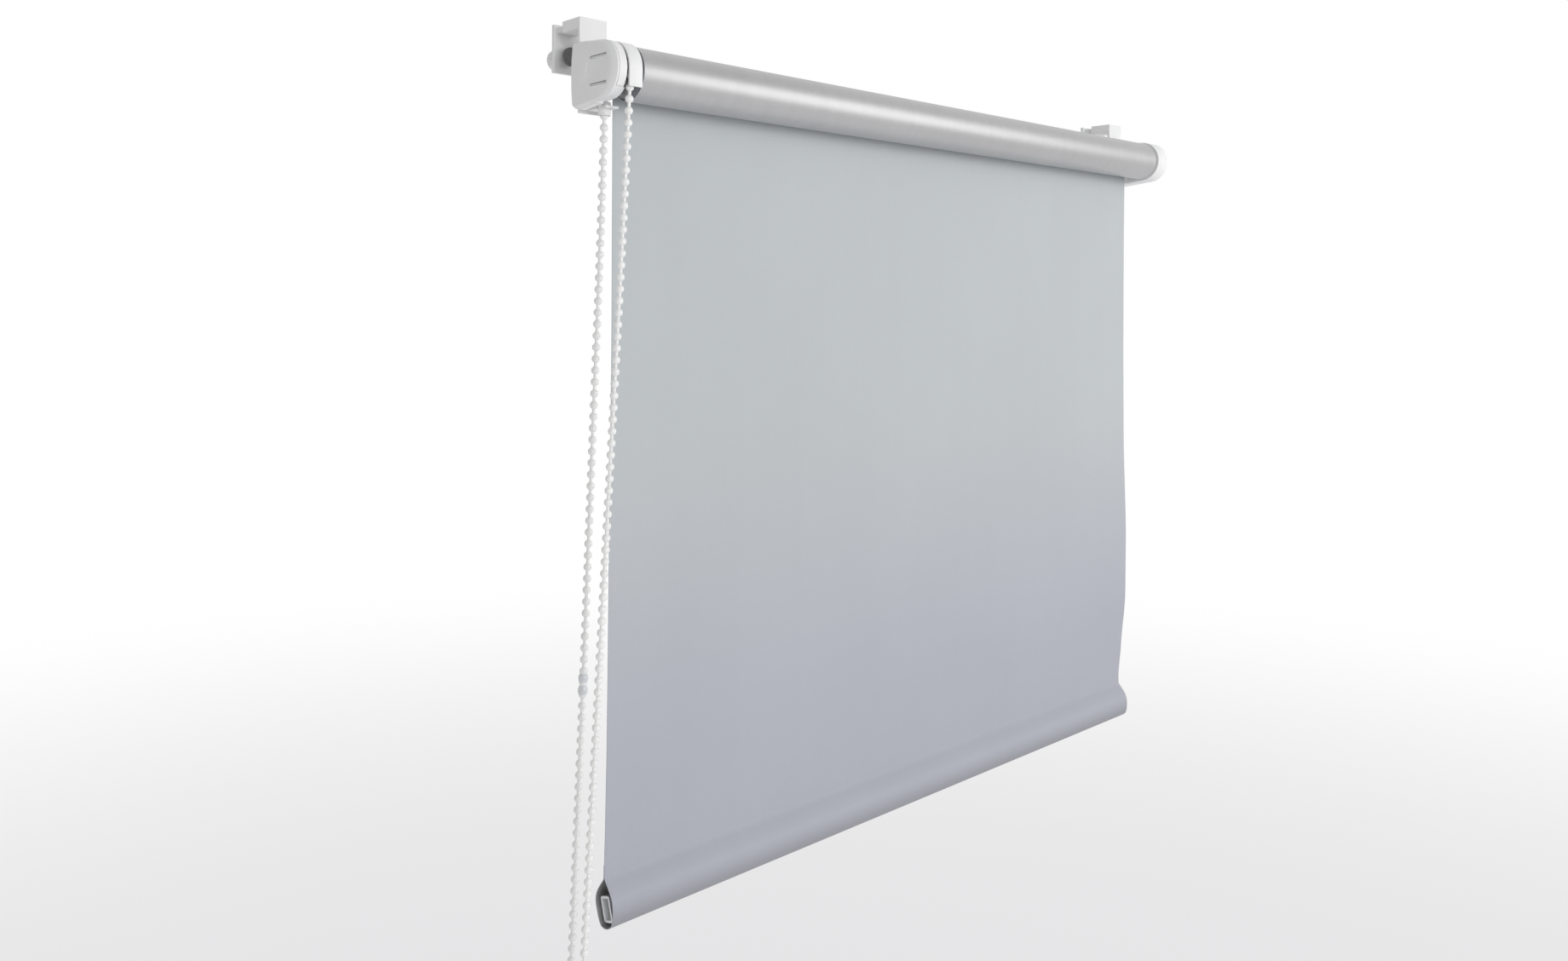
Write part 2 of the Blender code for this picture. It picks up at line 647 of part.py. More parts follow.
def clamp(side, x):
    """One sash clamp: a carrier, a hook that slides in its arm, and a screw with a soft foot."""
    half = CLAMP_HALF_WIDTH
    carrier = box(f"{side}_clamp_carrier", (x - half, CARRIER_FRONT, CARRIER_BOTTOM),
                  (x + half, CARRIER_BACK, ARM_HEIGHT))
    join(carrier, box(f"{side}_arm", (x - half, CARRIER_FRONT, 0), (x + half, ARM_END, ARM_HEIGHT)))
    cut(
        carrier,
        box(f"{side}_arm_channel", (x - half + ARM_WALL, 0.0006, ARM_FLOOR),
            (x + half - ARM_WALL, ARM_END + 0.001, ARM_HEIGHT - ARM_ROOF)),
        turned(f"{side}_screw_hole", [(-0.004, SCREW_BORE_RADIUS), (0.001, SCREW_BORE_RADIUS)],
               along="Y", centre=(x, 0, AXIS_Z), steps=24),
        turned(f"{side}_screw_recess", [(CARRIER_BACK - 0.0008, 0.0032), (0.001, 0.0032)],
               along="Y", centre=(x, 0, AXIS_Z), steps=24),
    )
    box(f"{side}_front_pad", (x - half + PAD_MARGIN, -PAD_THICKNESS, CARRIER_BOTTOM + PAD_MARGIN),
        (x + half - PAD_MARGIN, 0, -PAD_MARGIN), "foam")
    turned(f"{side}_bracket_screw", [
        (-0.00095, 0.0026), (-0.0011, 0.0029), (-0.0014, 0.0029), (-0.0014, 0.0014),
        (-0.0092, 0.0014), (-0.0098, 0.0007),
    ], "steel", along="Y", centre=(x, 0, AXIS_Z), steps=24)

    slide = empty(f"{side}_hook_slide", (x, TONGUE_START, 0))
    hook = box(f"{side}_clamp_hook", (-half, LEG_FRONT - TONGUE_START, LEG_BOTTOM),
               (half, LEG_BACK - TONGUE_START, ARM_HEIGHT), parent=slide)
    tongue = half - ARM_WALL - CLEARANCE
    join(hook, box(f"{side}_tongue", (-tongue, 0, ARM_FLOOR + CLEARANCE),
                   (tongue, LEG_BACK - TONGUE_START - 0.001, ARM_HEIGHT - ARM_ROOF - CLEARANCE),
                   parent=slide))
    cut(hook, turned(f"{side}_thread", [(0, 0.0023), (0.03, 0.0023)], along="Y",
                     centre=(0, 0, SCREW_HEIGHT), parent=slide, steps=24))

    screw_axis = empty(f"{side}_screw_axis", (x, SASH_THICKNESS, SCREW_HEIGHT))
    turned(f"{side}_rear_foot", [(0, 0.0048), (0.0004, 0.0052), (0.0014, 0.0052),
                                 (FOOT_THICKNESS, 0.0046)], "foam", screw_axis, along="Y",
           steps=32)
    turned(f"{side}_clamp_screw", [
        (0.0023, 0.0015), (0.0028, 0.0020), (0.0118, 0.0020), (0.0118, KNOB_RADIUS - 0.0005),
        (0.0123, KNOB_RADIUS), (0.0165, KNOB_RADIUS), (0.0170, KNOB_RADIUS - 0.0005),
    ], "white_plastic", screw_axis, along="Y", steps=32)


# Bead chain and its holder


def smooth_path(route, step):
    """Points about one step apart on a Catmull-Rom curve through the route."""
    ends = [2 * route[0] - route[1], *route, 2 * route[-1] - route[-2]]
    path = [route[0]]
    for before, start, end, after in zip(ends, ends[1:], ends[2:], ends[3:]):
        count = max(1, round((end - start).length / step))
        for number in range(1, count + 1):
            t = number / count
            path.append(0.5 * (
                2 * start + (end - before) * t
                + (2 * before - 5 * start + 4 * end - after) * t ** 2
                + (3 * start - before - 3 * end + after) * t ** 3
            ))
    return path


def strand_point(front, height, share):
    """A point of a strand: its height from the roller axis and its share of the way across."""
    side = -1 if front else 1
    top = Vector((CHAIN_X, AXIS_Y + side * PITCH_RADIUS, 0))
    bottom = Vector((HOLDER_X - side * HOLDER_RADIUS * sin(HOLDER_TURN),
                     HOLDER_Y + side * HOLDER_RADIUS * cos(HOLDER_TURN), 0))
    point = top.lerp(bottom, share)
    point.z = AXIS_Z + height
    return point


def holder_bend():
    """The half turn of the chain under the holder's wheel, from the front to the back."""
    points = []
    for step in range(9):
        angle = pi + pi * step / 8
        across = HOLDER_RADIUS * cos(angle)
        points.append(Vector((HOLDER_X - across * sin(HOLDER_TURN),
                              HOLDER_Y + across * cos(HOLDER_TURN),
                              HOLDER_Z + HOLDER_RADIUS * sin(angle))))
    return points


def chain():
    over = [
        Vector((CHAIN_X, AXIS_Y + y, AXIS_Z + z))
        for y, z in arc((0, 0), PITCH_RADIUS, pi - 0.05, 0.05, 12)
    ]
    wire("chain_over_sprocket", over, CHAIN_RADIUS, "bead_white")

    front = [strand_point(True, height, share) for height, share in (
        (-CHAIN_END_GAP, 0.0), (-0.080, 0.15), (-0.150, 0.29), (-0.260, 0.52), (-0.370, 0.74),
        (-0.450, 0.90),
    )]
    rear = [strand_point(False, height, share) for height, share in (
        (-0.445, 0.86), (-0.390, 0.74), (CONNECTOR_TOP - CONNECTOR_LENGTH - CHAIN_END_GAP, 0.585),
    )]
    path = smooth_path(front, CHAIN_POINT_STEP)
    path += smooth_path(holder_bend(), 0.0035)
    path += smooth_path(rear, CHAIN_POINT_STEP)
    wire("chain_loop", path, CHAIN_RADIUS, "bead_white")

    connector = [strand_point(False, CONNECTOR_TOP - CONNECTOR_LENGTH, 0.585),
                 strand_point(False, CONNECTOR_TOP, 0.560)]
    wire("chain_connector", connector, CONNECTOR_RADIUS, "clear_plastic")

    upper = [strand_point(False, height, share) for height, share in (
        (CONNECTOR_TOP + CHAIN_END_GAP, 0.559), (-0.200, 0.34), (-0.100, 0.13), (-0.030, 0.015),
        (-CHAIN_END_GAP, 0.0),
    )]
    wire("chain_rear_strand", smooth_path(upper, CHAIN_POINT_STEP), CHAIN_RADIUS, "bead_white")


def chain_holder():
    """Chain holder stuck to the sash: base plate, two cheeks, and a wheel on an axle."""
    centre = empty("holder_axis", (HOLDER_X, HOLDER_Y, HOLDER_Z), HOLDER_TURN)
    half = HOLDER_HALF_WIDTH
    body = box("holder_body", (HOLDER_X - half, HOLDER_BASE_FRONT, HOLDER_Z - HOLDER_BELOW),
               (HOLDER_X + half, -PAD_THICKNESS - CLEARANCE, HOLDER_Z + HOLDER_ABOVE),
               bevel=0.0006)
    for side in (-1, 1):
        root = CHEEK_ROOT + side * 0.0008
        outline = arc((0, 0), CHEEK_RADIUS, radians(90), radians(270), 12)
        outline += [(root, -CHEEK_HALF_ROOT), (root, CHEEK_HALF_ROOT)]
        loops = [[(side * x, y, z) for y, z in outline] for x in (CHEEK_INNER, CHEEK_OUTER)]
        join(body, loft(f"cheek_{side}", loops, parent=centre))
    cut(body, turned("axle_bore", [(-0.01, SCREW_BORE_RADIUS), (0.01, SCREW_BORE_RADIUS)],
                     parent=centre, steps=24))
    margin = PAD_MARGIN / 2
    box("holder_pad", (HOLDER_X - half + margin, -PAD_THICKNESS, HOLDER_Z - HOLDER_BELOW + margin),
        (HOLDER_X + half - margin, 0, HOLDER_Z + HOLDER_ABOVE - margin), "foam")
    turned("holder_axle", [
        (-0.0066, 0.0024), (-0.0059, 0.0028), (-0.0059, 0.0015), (0.0068, 0.0015),
    ], "steel", centre, steps=24)
    turned("holder_wheel", [
        (-0.0037, 0.0018), (-0.0037, 0.0097), (-0.0031, 0.0097), (-0.0024, 0.0061),
        (0.0024, 0.0061), (0.0031, 0.0097), (0.0037, 0.0097), (0.0037, 0.0018),
    ], "grey_plastic", centre, ring=True)


def build():
    clear_scene()
    axis = empty("roller_axis", (0, AXIS_Y, AXIS_Z))
    control_cover(axis)
    chain_guard(axis)
    control_housing(axis)
    clutch(axis)
    chain_wheel(axis)
    roller(axis)
    idle_pin(axis)
    hanging_fabric(axis)
    hem(axis)
    idle_end(axis)
    for side, x in (("left", -CLAMP_X), ("right", CLAMP_X)):
        clamp(side, x)
    chain()
    chain_holder()


build()
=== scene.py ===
import json
from math import cos, hypot, pi, radians, sin, sqrt, tau

import bmesh
import bpy
from mathutils import Matrix, Vector, noise
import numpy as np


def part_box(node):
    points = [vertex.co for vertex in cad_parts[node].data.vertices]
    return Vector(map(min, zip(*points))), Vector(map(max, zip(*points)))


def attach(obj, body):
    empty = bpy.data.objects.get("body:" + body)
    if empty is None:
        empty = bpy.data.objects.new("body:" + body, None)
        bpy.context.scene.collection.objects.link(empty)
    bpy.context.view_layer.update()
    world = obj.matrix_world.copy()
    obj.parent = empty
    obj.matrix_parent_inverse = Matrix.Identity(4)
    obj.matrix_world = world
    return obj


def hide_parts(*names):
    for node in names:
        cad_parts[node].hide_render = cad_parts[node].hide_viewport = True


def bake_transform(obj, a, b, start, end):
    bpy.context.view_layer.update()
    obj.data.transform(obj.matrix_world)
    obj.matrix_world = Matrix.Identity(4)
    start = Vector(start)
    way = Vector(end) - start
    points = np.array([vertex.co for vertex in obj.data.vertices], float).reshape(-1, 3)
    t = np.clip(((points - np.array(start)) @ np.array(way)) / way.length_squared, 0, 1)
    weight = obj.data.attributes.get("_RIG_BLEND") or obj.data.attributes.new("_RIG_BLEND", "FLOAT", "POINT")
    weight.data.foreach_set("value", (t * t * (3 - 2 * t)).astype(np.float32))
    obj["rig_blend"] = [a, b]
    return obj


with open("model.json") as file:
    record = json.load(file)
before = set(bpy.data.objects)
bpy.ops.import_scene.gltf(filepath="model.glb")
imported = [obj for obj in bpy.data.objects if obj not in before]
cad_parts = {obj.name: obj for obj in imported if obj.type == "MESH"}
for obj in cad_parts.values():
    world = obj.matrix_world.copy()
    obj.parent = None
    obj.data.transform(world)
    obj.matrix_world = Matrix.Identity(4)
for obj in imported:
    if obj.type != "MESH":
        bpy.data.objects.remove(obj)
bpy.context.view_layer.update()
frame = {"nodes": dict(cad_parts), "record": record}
nodes = frame["nodes"]
print("frame loaded:", len(nodes), "parts")


def middleOf(node):
    low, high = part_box(node)
    return (Vector(low) + Vector(high)) / 2


rollAxis = middleOf("wound_fabric")
rollAxis.x = 0


# Camera: level, turned to the right, a little out of plumb

cameraSet = {
    "place": (-0.6058, -0.5327, -0.1472),
    "heading": radians(-42.807),
    "lean": 0.0077,
    "lens": 27.28,
    "sensor": 36.0,
    "shiftDown": 0.1088,
    "nearest": 0.02,
}


def setCamera():
    eye = bpy.data.cameras.new("studioCamera")
    eye.lens = cameraSet["lens"]
    eye.sensor_width = cameraSet["sensor"]
    eye.shift_y = -cameraSet["shiftDown"]
    eye.clip_start = cameraSet["nearest"]
    holder = bpy.data.objects.new("studioCamera", eye)
    holder.location = cameraSet["place"]
    holder.rotation_euler = (pi / 2, -cameraSet["lean"], cameraSet["heading"])
    bpy.context.scene.collection.objects.link(holder)
    bpy.context.scene.camera = holder


setCamera()
print("camera set")


# Node trees

class Wire:  # an output socket that sums can be written with
    def __init__(self, maker, socket):
        self.maker = maker
        self.socket = socket

    def maths(self, operation, *values):
        return self.maker.add("ShaderNodeMath", {"operation": operation}, dict(enumerate(values)))

    def __add__(self, other):
        return self.maths("ADD", self, other)

    def __sub__(self, other):
        return self.maths("SUBTRACT", self, other)

    def __rsub__(self, other):
        return self.maths("SUBTRACT", other, self)

    def __mul__(self, other):
        return self.maths("MULTIPLY", self, other)

    __radd__ = __add__
    __rmul__ = __mul__

    def wave(self):
        return self.maths("SINE", self)

    def ease(self, low, high):  # 0 below low, 1 above high
        return self.maker.add("ShaderNodeMapRange", {"interpolation_type": "SMOOTHSTEP"},
                              {"Value": self, "From Min": low, "From Max": high})


class Maker:  # adds nodes to one tree
    def __init__(self, tree):
        self.tree = tree

    def feed(self, socket, value):
        if isinstance(value, Wire):
            self.tree.links.new(value.socket, socket)
        else:
            socket.default_value = value

    def add(self, kind, settings=None, inputs=None, output=0):
        node = self.tree.nodes.new(kind)
        for key, value in (settings or {}).items():
            setattr(node, key, value)
        for key, value in (inputs or {}).items():
            self.feed(node.inputs[key], value)
        return Wire(self, node.outputs[output])


class Paint(Maker):  # a material round one Principled shader
    def __init__(self, name, **fixed):
        self.material = bpy.data.materials.new(name)
        self.material.use_nodes = True
        super().__init__(self.material.node_tree)
        self.shader = self.tree.nodes["Principled BSDF"]
        for key, value in fixed.items():
            self.shader.inputs[key.replace("_", " ")].default_value = value

    def lay(self, **wires):
        for key, value in wires.items():
            self.feed(self.shader.inputs[key.replace("_", " ")], value)
        return self.material

    def place(self, scale=(1, 1, 1), turn=(0, 0, 0)):
        spot = self.add("ShaderNodeTexCoord", output="Object")
        return self.add("ShaderNodeMapping", None,
                        {"Vector": spot, "Scale": scale, "Rotation": turn})

    def cloth(self, scale=(1, 1, 1)):  # metres along and across the cloth
        spot = self.add("ShaderNodeUVMap", {"uv_map": "cloth"})
        return self.add("ShaderNodeMapping", None, {"Vector": spot, "Scale": scale})

    def cloud(self, place, scale, detail):
        return self.add("ShaderNodeTexNoise", None,
                        {"Vector": place, "Scale": scale, "Detail": detail})

    def tint(self, share, first, second):
        return self.add("ShaderNodeMix", {"data_type": "RGBA"},
                        {0: share, 6: first, 7: second}, output=2)

    def relief(self, height, depth):
        return self.add("ShaderNodeBump", None, {"Height": height, "Distance": depth})


def grey(value, warm=0.0):
    return (value + warm, value, value, 1)


# Finishes

plasticSet = {
    "pale": (0.755, 0.76, 0.765, 1), "bright": (0.805, 0.805, 0.80, 1), "gloss": 0.36,
    "greyPale": grey(0.16), "greyBright": grey(0.24),
    "mottles": 38, "flows": 110, "rubs": 240, "dusts": 420, "grains": 2400,  # per metre
    "grainDepth": 0.00003, "dust": grey(0.35, 0.02), "dustShare": 0.10,
}


def mouldedPlastic(name, pale, bright):
    paint = Paint(name, Specular_IOR_Level=0.5)
    place = paint.place()
    mottle = paint.cloud(place, plasticSet["mottles"], 3)
    grain = paint.cloud(place, plasticSet["grains"], 2)
    flow = paint.cloud(paint.place(scale=(1, 1, 6)), plasticSet["flows"], 4)
    streaks = paint.place(scale=(9, 1, 1), turn=(0.4, 0.3, 0))
    rub = paint.cloud(streaks, plasticSet["rubs"], 3).ease(0.62, 0.74)
    dust = paint.cloud(place, plasticSet["dusts"], 4).ease(0.60, 0.80)
    colour = paint.tint(mottle * 0.6 + flow * 0.4, pale, bright)
    colour = paint.tint(dust * plasticSet["dustShare"], colour, plasticSet["dust"])
    return paint.lay(
        Base_Color=colour,
        Roughness=plasticSet["gloss"] + mottle * 0.08 + rub * 0.18 + dust * 0.10,
        Normal=paint.relief(grain + flow * 0.6, plasticSet["grainDepth"]),
    )


clothSet = {
    "low": (0.436, 0.461, 0.477, 1), "high": (0.470, 0.498, 0.513, 1),
    # painted shade: darker, more lilac colours the cloth turns to towards the hem, where less light reaches
    "paintedShadeLow": (0.374, 0.385, 0.437, 1), "paintedShadeHigh": (0.406, 0.418, 0.472, 1),
    "fadeFrom": 0.25, "fadeTo": 0.50,  # metres down the cloth
    # painted shade round the underside of the hem's pocket, between these lengths down the cloth
    "pocketShade": (0.27, 0.275, 0.30, 1), "pocketShadeFrom": 0.517, "pocketShadeTo": 0.533,
    "pocketShadeEnd": 0.541, "pocketShadeGone": 0.552,
    "threads": 2300, "strays": 1500, "patches": 9, "stripes": 60, "flecks": 170,  # per metre
    "threadDepth": 0.00003, "fleck": (0.30, 0.32, 0.34, 1), "fleckShare": 0.5,
    "sheen": 0.12, "gloss": 0.58, "glossSpread": 0.22,
}


def weaveOf(paint, threads):  # the height of a plain weave, with uneven threads
    along = paint.add("ShaderNodeSeparateXYZ", None, {"Vector": paint.cloth()}, "X")
    down = paint.add("ShaderNodeSeparateXYZ", None, {"Vector": paint.cloth()}, "Y")
    weave = (along * (threads * pi)).wave() * (down * (threads * pi)).wave()
    warp = paint.cloud(paint.cloth(scale=(1, 0.03, 1)), clothSet["strays"], 2)
    weft = paint.cloud(paint.cloth(scale=(0.03, 1, 1)), clothSet["strays"], 2)
    return weave * 0.35 + warp * 0.8 + weft * 0.8, warp * 0.5 + weft * 0.5


def coatedCloth():
    paint = Paint("coatedCloth", Specular_IOR_Level=0.35, Sheen_Weight=clothSet["sheen"],
                  Sheen_Roughness=0.5)
    height, thread = weaveOf(paint, clothSet["threads"])
    patch = paint.cloud(paint.cloth(scale=(1, 0.6, 1)), clothSet["patches"], 3)
    stripe = paint.cloud(paint.cloth(scale=(1, 0.02, 1)), clothSet["stripes"], 2)
    fleck = paint.cloud(paint.cloth(), clothSet["flecks"], 1).ease(0.83, 0.86)
    share = (patch * 0.45 + thread * 0.4 + stripe * 0.15).ease(0.2, 0.8)
    down = paint.add("ShaderNodeSeparateXYZ", None, {"Vector": paint.cloth()}, "Y")
    # painted shade: the cloth is made darker and more lilac down towards the hem
    colour = paint.tint(down.ease(clothSet["fadeFrom"], clothSet["fadeTo"]),
                        paint.tint(share, clothSet["low"], clothSet["high"]),
                        paint.tint(share, clothSet["paintedShadeLow"], clothSet["paintedShadeHigh"]))
    # painted shade: the underside of the hem's pocket is darkened where it turns away from the light
    pocketShade = down.ease(clothSet["pocketShadeFrom"], clothSet["pocketShadeTo"])
    pocketShade = pocketShade - down.ease(clothSet["pocketShadeEnd"], clothSet["pocketShadeGone"])
    colour = paint.tint(pocketShade, colour, clothSet["pocketShade"])
    colour = paint.tint(fleck * clothSet["fleckShare"], colour, clothSet["fleck"])
    return paint.lay(Base_Color=colour,
                     Roughness=clothSet["gloss"] + thread * clothSet["glossSpread"],
                     Normal=paint.relief(height, clothSet["threadDepth"]))


foilSet = {
    "low": (0.46, 0.46, 0.465, 1), "high": (0.53, 0.53, 0.535, 1), "metal": 0.62, "gloss": 0.33,
    "pulls": 160, "threads": 1500, "patches": 14,  # per metre
    "threadDepth": 0.000012,
}


def silverBacking():
    paint = Paint("silverBacking", Metallic=foilSet["metal"])
    pull = paint.cloud(paint.cloth(scale=(1, 0.08, 1)), foilSet["pulls"], 3)
    thread = paint.cloud(paint.cloth(scale=(0.15, 1, 1)), foilSet["threads"], 2)
    patch = paint.cloud(paint.cloth(), foilSet["patches"], 3)
    share = pull * 0.3 + thread * 0.4 + patch * 0.3
    colour = paint.tint(share.ease(0.25, 0.75), foilSet["low"], foilSet["high"])
    return paint.lay(Base_Color=colour, Roughness=foilSet["gloss"] + thread * 0.12 + patch * 0.08,
                     Normal=paint.relief(pull * 0.4 + thread * 0.6, foilSet["threadDepth"]))


beadSet = {
    "low": (0.79, 0.79, 0.785, 1), "high": (0.86, 0.86, 0.85, 1), "gloss": 0.26,
    "mottles": 130, "marks": 900, "grains": 2200,  # per metre
    "mark": grey(0.45, 0.03), "markShare": 0.08, "grainDepth": 0.00002,
}


def beadPlastic():
    paint = Paint("beadPlastic", Specular_IOR_Level=0.55)
    place = paint.place()
    mottle = paint.cloud(place, beadSet["mottles"], 3)
    handled = paint.cloud(place, beadSet["marks"], 3).ease(0.5, 0.8)
    grain = paint.cloud(place, beadSet["grains"], 2)
    colour = paint.tint(mottle, beadSet["low"], beadSet["high"])
    colour = paint.tint(handled * beadSet["markShare"], colour, beadSet["mark"])
    return paint.lay(Base_Color=colour, Roughness=beadSet["gloss"] + handled * 0.2,
                     Normal=paint.relief(grain, beadSet["grainDepth"]))


metalSet = {
    "steel": {"low": (0.50, 0.50, 0.49, 1), "high": (0.68, 0.68, 0.66, 1), "gloss": 0.24,
              "stretch": (1, 12, 12), "lines": 420},
    "aluminium": {"low": (0.66, 0.67, 0.68, 1), "high": (0.80, 0.81, 0.82, 1), "gloss": 0.30,
                  "stretch": (0.01, 1, 1), "lines": 2600},
    "patches": 45,
    "scratches": 500,
    "lineDepth": 0.00002,
}


def drawnMetal(name, values):
    paint = Paint(name, Metallic=1.0)
    line = paint.cloud(paint.place(scale=values["stretch"]), values["lines"], 3)
    patch = paint.cloud(paint.place(), metalSet["patches"], 3)
    wear = paint.cloud(paint.place(), metalSet["scratches"], 4).ease(0.6, 0.8)
    colour = paint.tint(line * 0.6 + patch * 0.4, values["low"], values["high"])
    return paint.lay(Base_Color=colour, Roughness=values["gloss"] + line * 0.12 + wear * 0.18,
                     Normal=paint.relief(line, metalSet["lineDepth"]))


clearSet = {"low": (0.66, 0.68, 0.71, 1), "high": (0.82, 0.84, 0.86, 1), "solid": 0.82,
            "gloss": 0.14, "clouds": 600, "cloudDepth": 0.00002}


def clearPlastic():
    paint = Paint("clearPlastic", Alpha=clearSet["solid"], Specular_IOR_Level=0.6)
    cloudy = paint.cloud(paint.place(), clearSet["clouds"], 3)
    colour = paint.tint(cloudy, clearSet["low"], clearSet["high"])
    return paint.lay(Base_Color=colour, Roughness=clearSet["gloss"] + cloudy * 0.12,
                     Normal=paint.relief(cloudy, clearSet["cloudDepth"]))


foamSet = {"low": grey(0.10), "high": (0.24, 0.24, 0.235, 1), "gloss": 0.80, "cells": 2600.0,
           "patches": 160, "cellDepth": 0.00008}


def foamRubber():
    paint = Paint("foamRubber", Specular_IOR_Level=0.2)
    cells = paint.add("ShaderNodeTexVoronoi", None,
                      {"Vector": paint.place(), "Scale": foamSet["cells"]})
    patch = paint.cloud(paint.place(), foamSet["patches"], 3)
    colour = paint.tint(patch * 0.5 + cells * 0.5, foamSet["low"], foamSet["high"])
    return paint.lay(Base_Color=colour, Roughness=foamSet["gloss"] + patch * 0.15,
                     Normal=paint.relief(cells, foamSet["cellDepth"]))


tapeSet = {"low": (0.70, 0.66, 0.50, 1), "high": (0.82, 0.79, 0.66, 1), "gloss": 0.42,
           "pulls": 900, "bubbles": 260, "bubbleDepth": 0.00003}


def stickyTape():
    paint = Paint("stickyTape")
    pull = paint.cloud(paint.place(scale=(0.05, 1, 1)), tapeSet["pulls"], 3)
    bubble = paint.cloud(paint.place(), tapeSet["bubbles"], 3).ease(0.55, 0.7)
    colour = paint.tint(pull, tapeSet["low"], tapeSet["high"])
    return paint.lay(Base_Color=colour, Roughness=tapeSet["gloss"] + bubble * 0.3,
                     Normal=paint.relief(pull + bubble, tapeSet["bubbleDepth"]))


finishes = {
    "white_plastic": mouldedPlastic("whitePlastic", plasticSet["pale"], plasticSet["bright"]),
    "grey_plastic": mouldedPlastic("greyPlastic", plasticSet["greyPale"], plasticSet["greyBright"]),
    "clear_plastic": clearPlastic(),
    "steel": drawnMetal("brightSteel", metalSet["steel"]),
    "aluminium": drawnMetal("millAluminium", metalSet["aluminium"]),
    "blind_fabric": coatedCloth(),
    "foil_fabric": silverBacking(),
    "bead_white": beadPlastic(),
    "foam": foamRubber(),
    "adhesive_tape": stickyTape(),
}
print("finishes made:", len(finishes))


# Making pieces

def slotOf(node):
    return nodes[node].data.materials[0].name.split(".")[0]


def bodyOf(node):
    for body, members in frame["record"]["behaviour"]["bodies"].items():
        if node in members:
            return body
    return "root"


def settle(name, mesh, slot, body, *stands):
    piece = bpy.data.objects.new(name, mesh)
    bpy.context.scene.collection.objects.link(piece)
    if not mesh.materials:
        mesh.materials.append(finishes[slot])
    if body:
        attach(piece, body)
    if stands:
        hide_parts(*stands)
    return piece


def meshOf(name, builder, sharp=radians(40)):
    bmesh.ops.recalc_face_normals(builder, faces=builder.faces)
    mesh = bpy.data.meshes.new(name)
    builder.to_mesh(mesh)
    builder.free()
    mesh.shade_smooth()
    mesh.set_sharp_from_angle(angle=sharp)
    return mesh


def loftMesh(name, loops, ring=False, sharp=radians(40)):  # a closed skin through equal loops
    builder = bmesh.new()
    rows = [[builder.verts.new(point) for point in loop] for loop in loops]
    pairs = list(zip(rows, rows[1:]))
    if ring:
        pairs.append((rows[-1], rows[0]))
    else:
        builder.faces.new(rows[0])
        builder.faces.new(rows[-1])
    for row, nextRow in pairs:
        for index in range(len(row)):
            builder.faces.new((row[index - 1], row[index], nextRow[index], nextRow[index - 1]))
    return meshOf(name, builder, sharp)


def latheLoops(profile, origin, along, steps):  # profile: distance along, radius
    side = along.orthogonal().normalized()
    other = along.cross(side)
    loops = []
    for distance, radius in profile:
        middle = origin + along * distance
        loops.append([middle + (side * cos(tau * step / steps) + other * sin(tau * step / steps))
                      * radius for step in range(steps)])
    return loops


class Grower(Maker):  # a geometry tree with named inputs, grown on a host mesh
    def __init__(self, name, sizes):
        tree = bpy.data.node_groups.new(name, "GeometryNodeTree")
        super().__init__(tree)
        tree.interface.new_socket("Geometry", in_out="INPUT", socket_type="NodeSocketGeometry")
        tree.interface.new_socket("Geometry", in_out="OUTPUT", socket_type="NodeSocketGeometry")
        self.sizes = sizes
        self.sockets = {}
        for key, value in sizes.items():
            kind = "NodeSocketInt" if isinstance(value, int) else "NodeSocketFloat"
            socket = tree.interface.new_socket(key, in_out="INPUT", socket_type=kind)
            self.sockets[key] = socket.identifier
        self.entry = tree.nodes.new("NodeGroupInput")
        self.end = tree.nodes.new("NodeGroupOutput")

    def given(self, key):
        return Wire(self, self.entry.outputs[key])

    def join(self, *wires):
        node = self.tree.nodes.new("GeometryNodeJoinGeometry")
        for wire in wires:
            self.tree.links.new(wire.socket, node.inputs[0])
        return Wire(self, node.outputs[0])

    def finish(self, geometry, material):
        whole = self.add("GeometryNodeRealizeInstances", None, {0: geometry})
        painted = self.add("GeometryNodeSetMaterial", None, {"Geometry": whole,
                                                             "Material": material})
        self.feed(self.end.inputs[0], painted)

    def grow(self, name, host):  # the tree's result on a host mesh, as a plain mesh
        carrier = bpy.data.objects.new(name + "Host", host)
        bpy.context.scene.collection.objects.link(carrier)
        step = carrier.modifiers.new("grow", "NODES")
        step.node_group = self.tree
        for key, value in self.sizes.items():
            step[self.sockets[key]] = value
        graph = bpy.context.evaluated_depsgraph_get()
        made = bpy.data.meshes.new_from_object(carrier.evaluated_get(graph), depsgraph=graph)
        carrier.modifiers.remove(step)
        bpy.data.objects.remove(carrier)
        made.name = name
        return made


def lineMesh(name, points):
    mesh = bpy.data.meshes.new(name)
    mesh.from_pydata(points, [(index, index + 1) for index in range(len(points) - 1)], [])
    return mesh


def lengthOf(points):
    return sum((after - before).length for before, after in zip(points, points[1:]))


def stretchEvenly(piece, near, far, start, end):  # a piece drawn out in even shares
    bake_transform(piece, near, far, start=start, end=end)
    way = end - start
    shares = piece.data.attributes["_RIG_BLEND"].data
    for vertex, share in zip(piece.data.vertices, shares):
        share.value = min(1.0, max(0.0, (vertex.co - start).dot(way) / way.length_squared))


# Bead chain

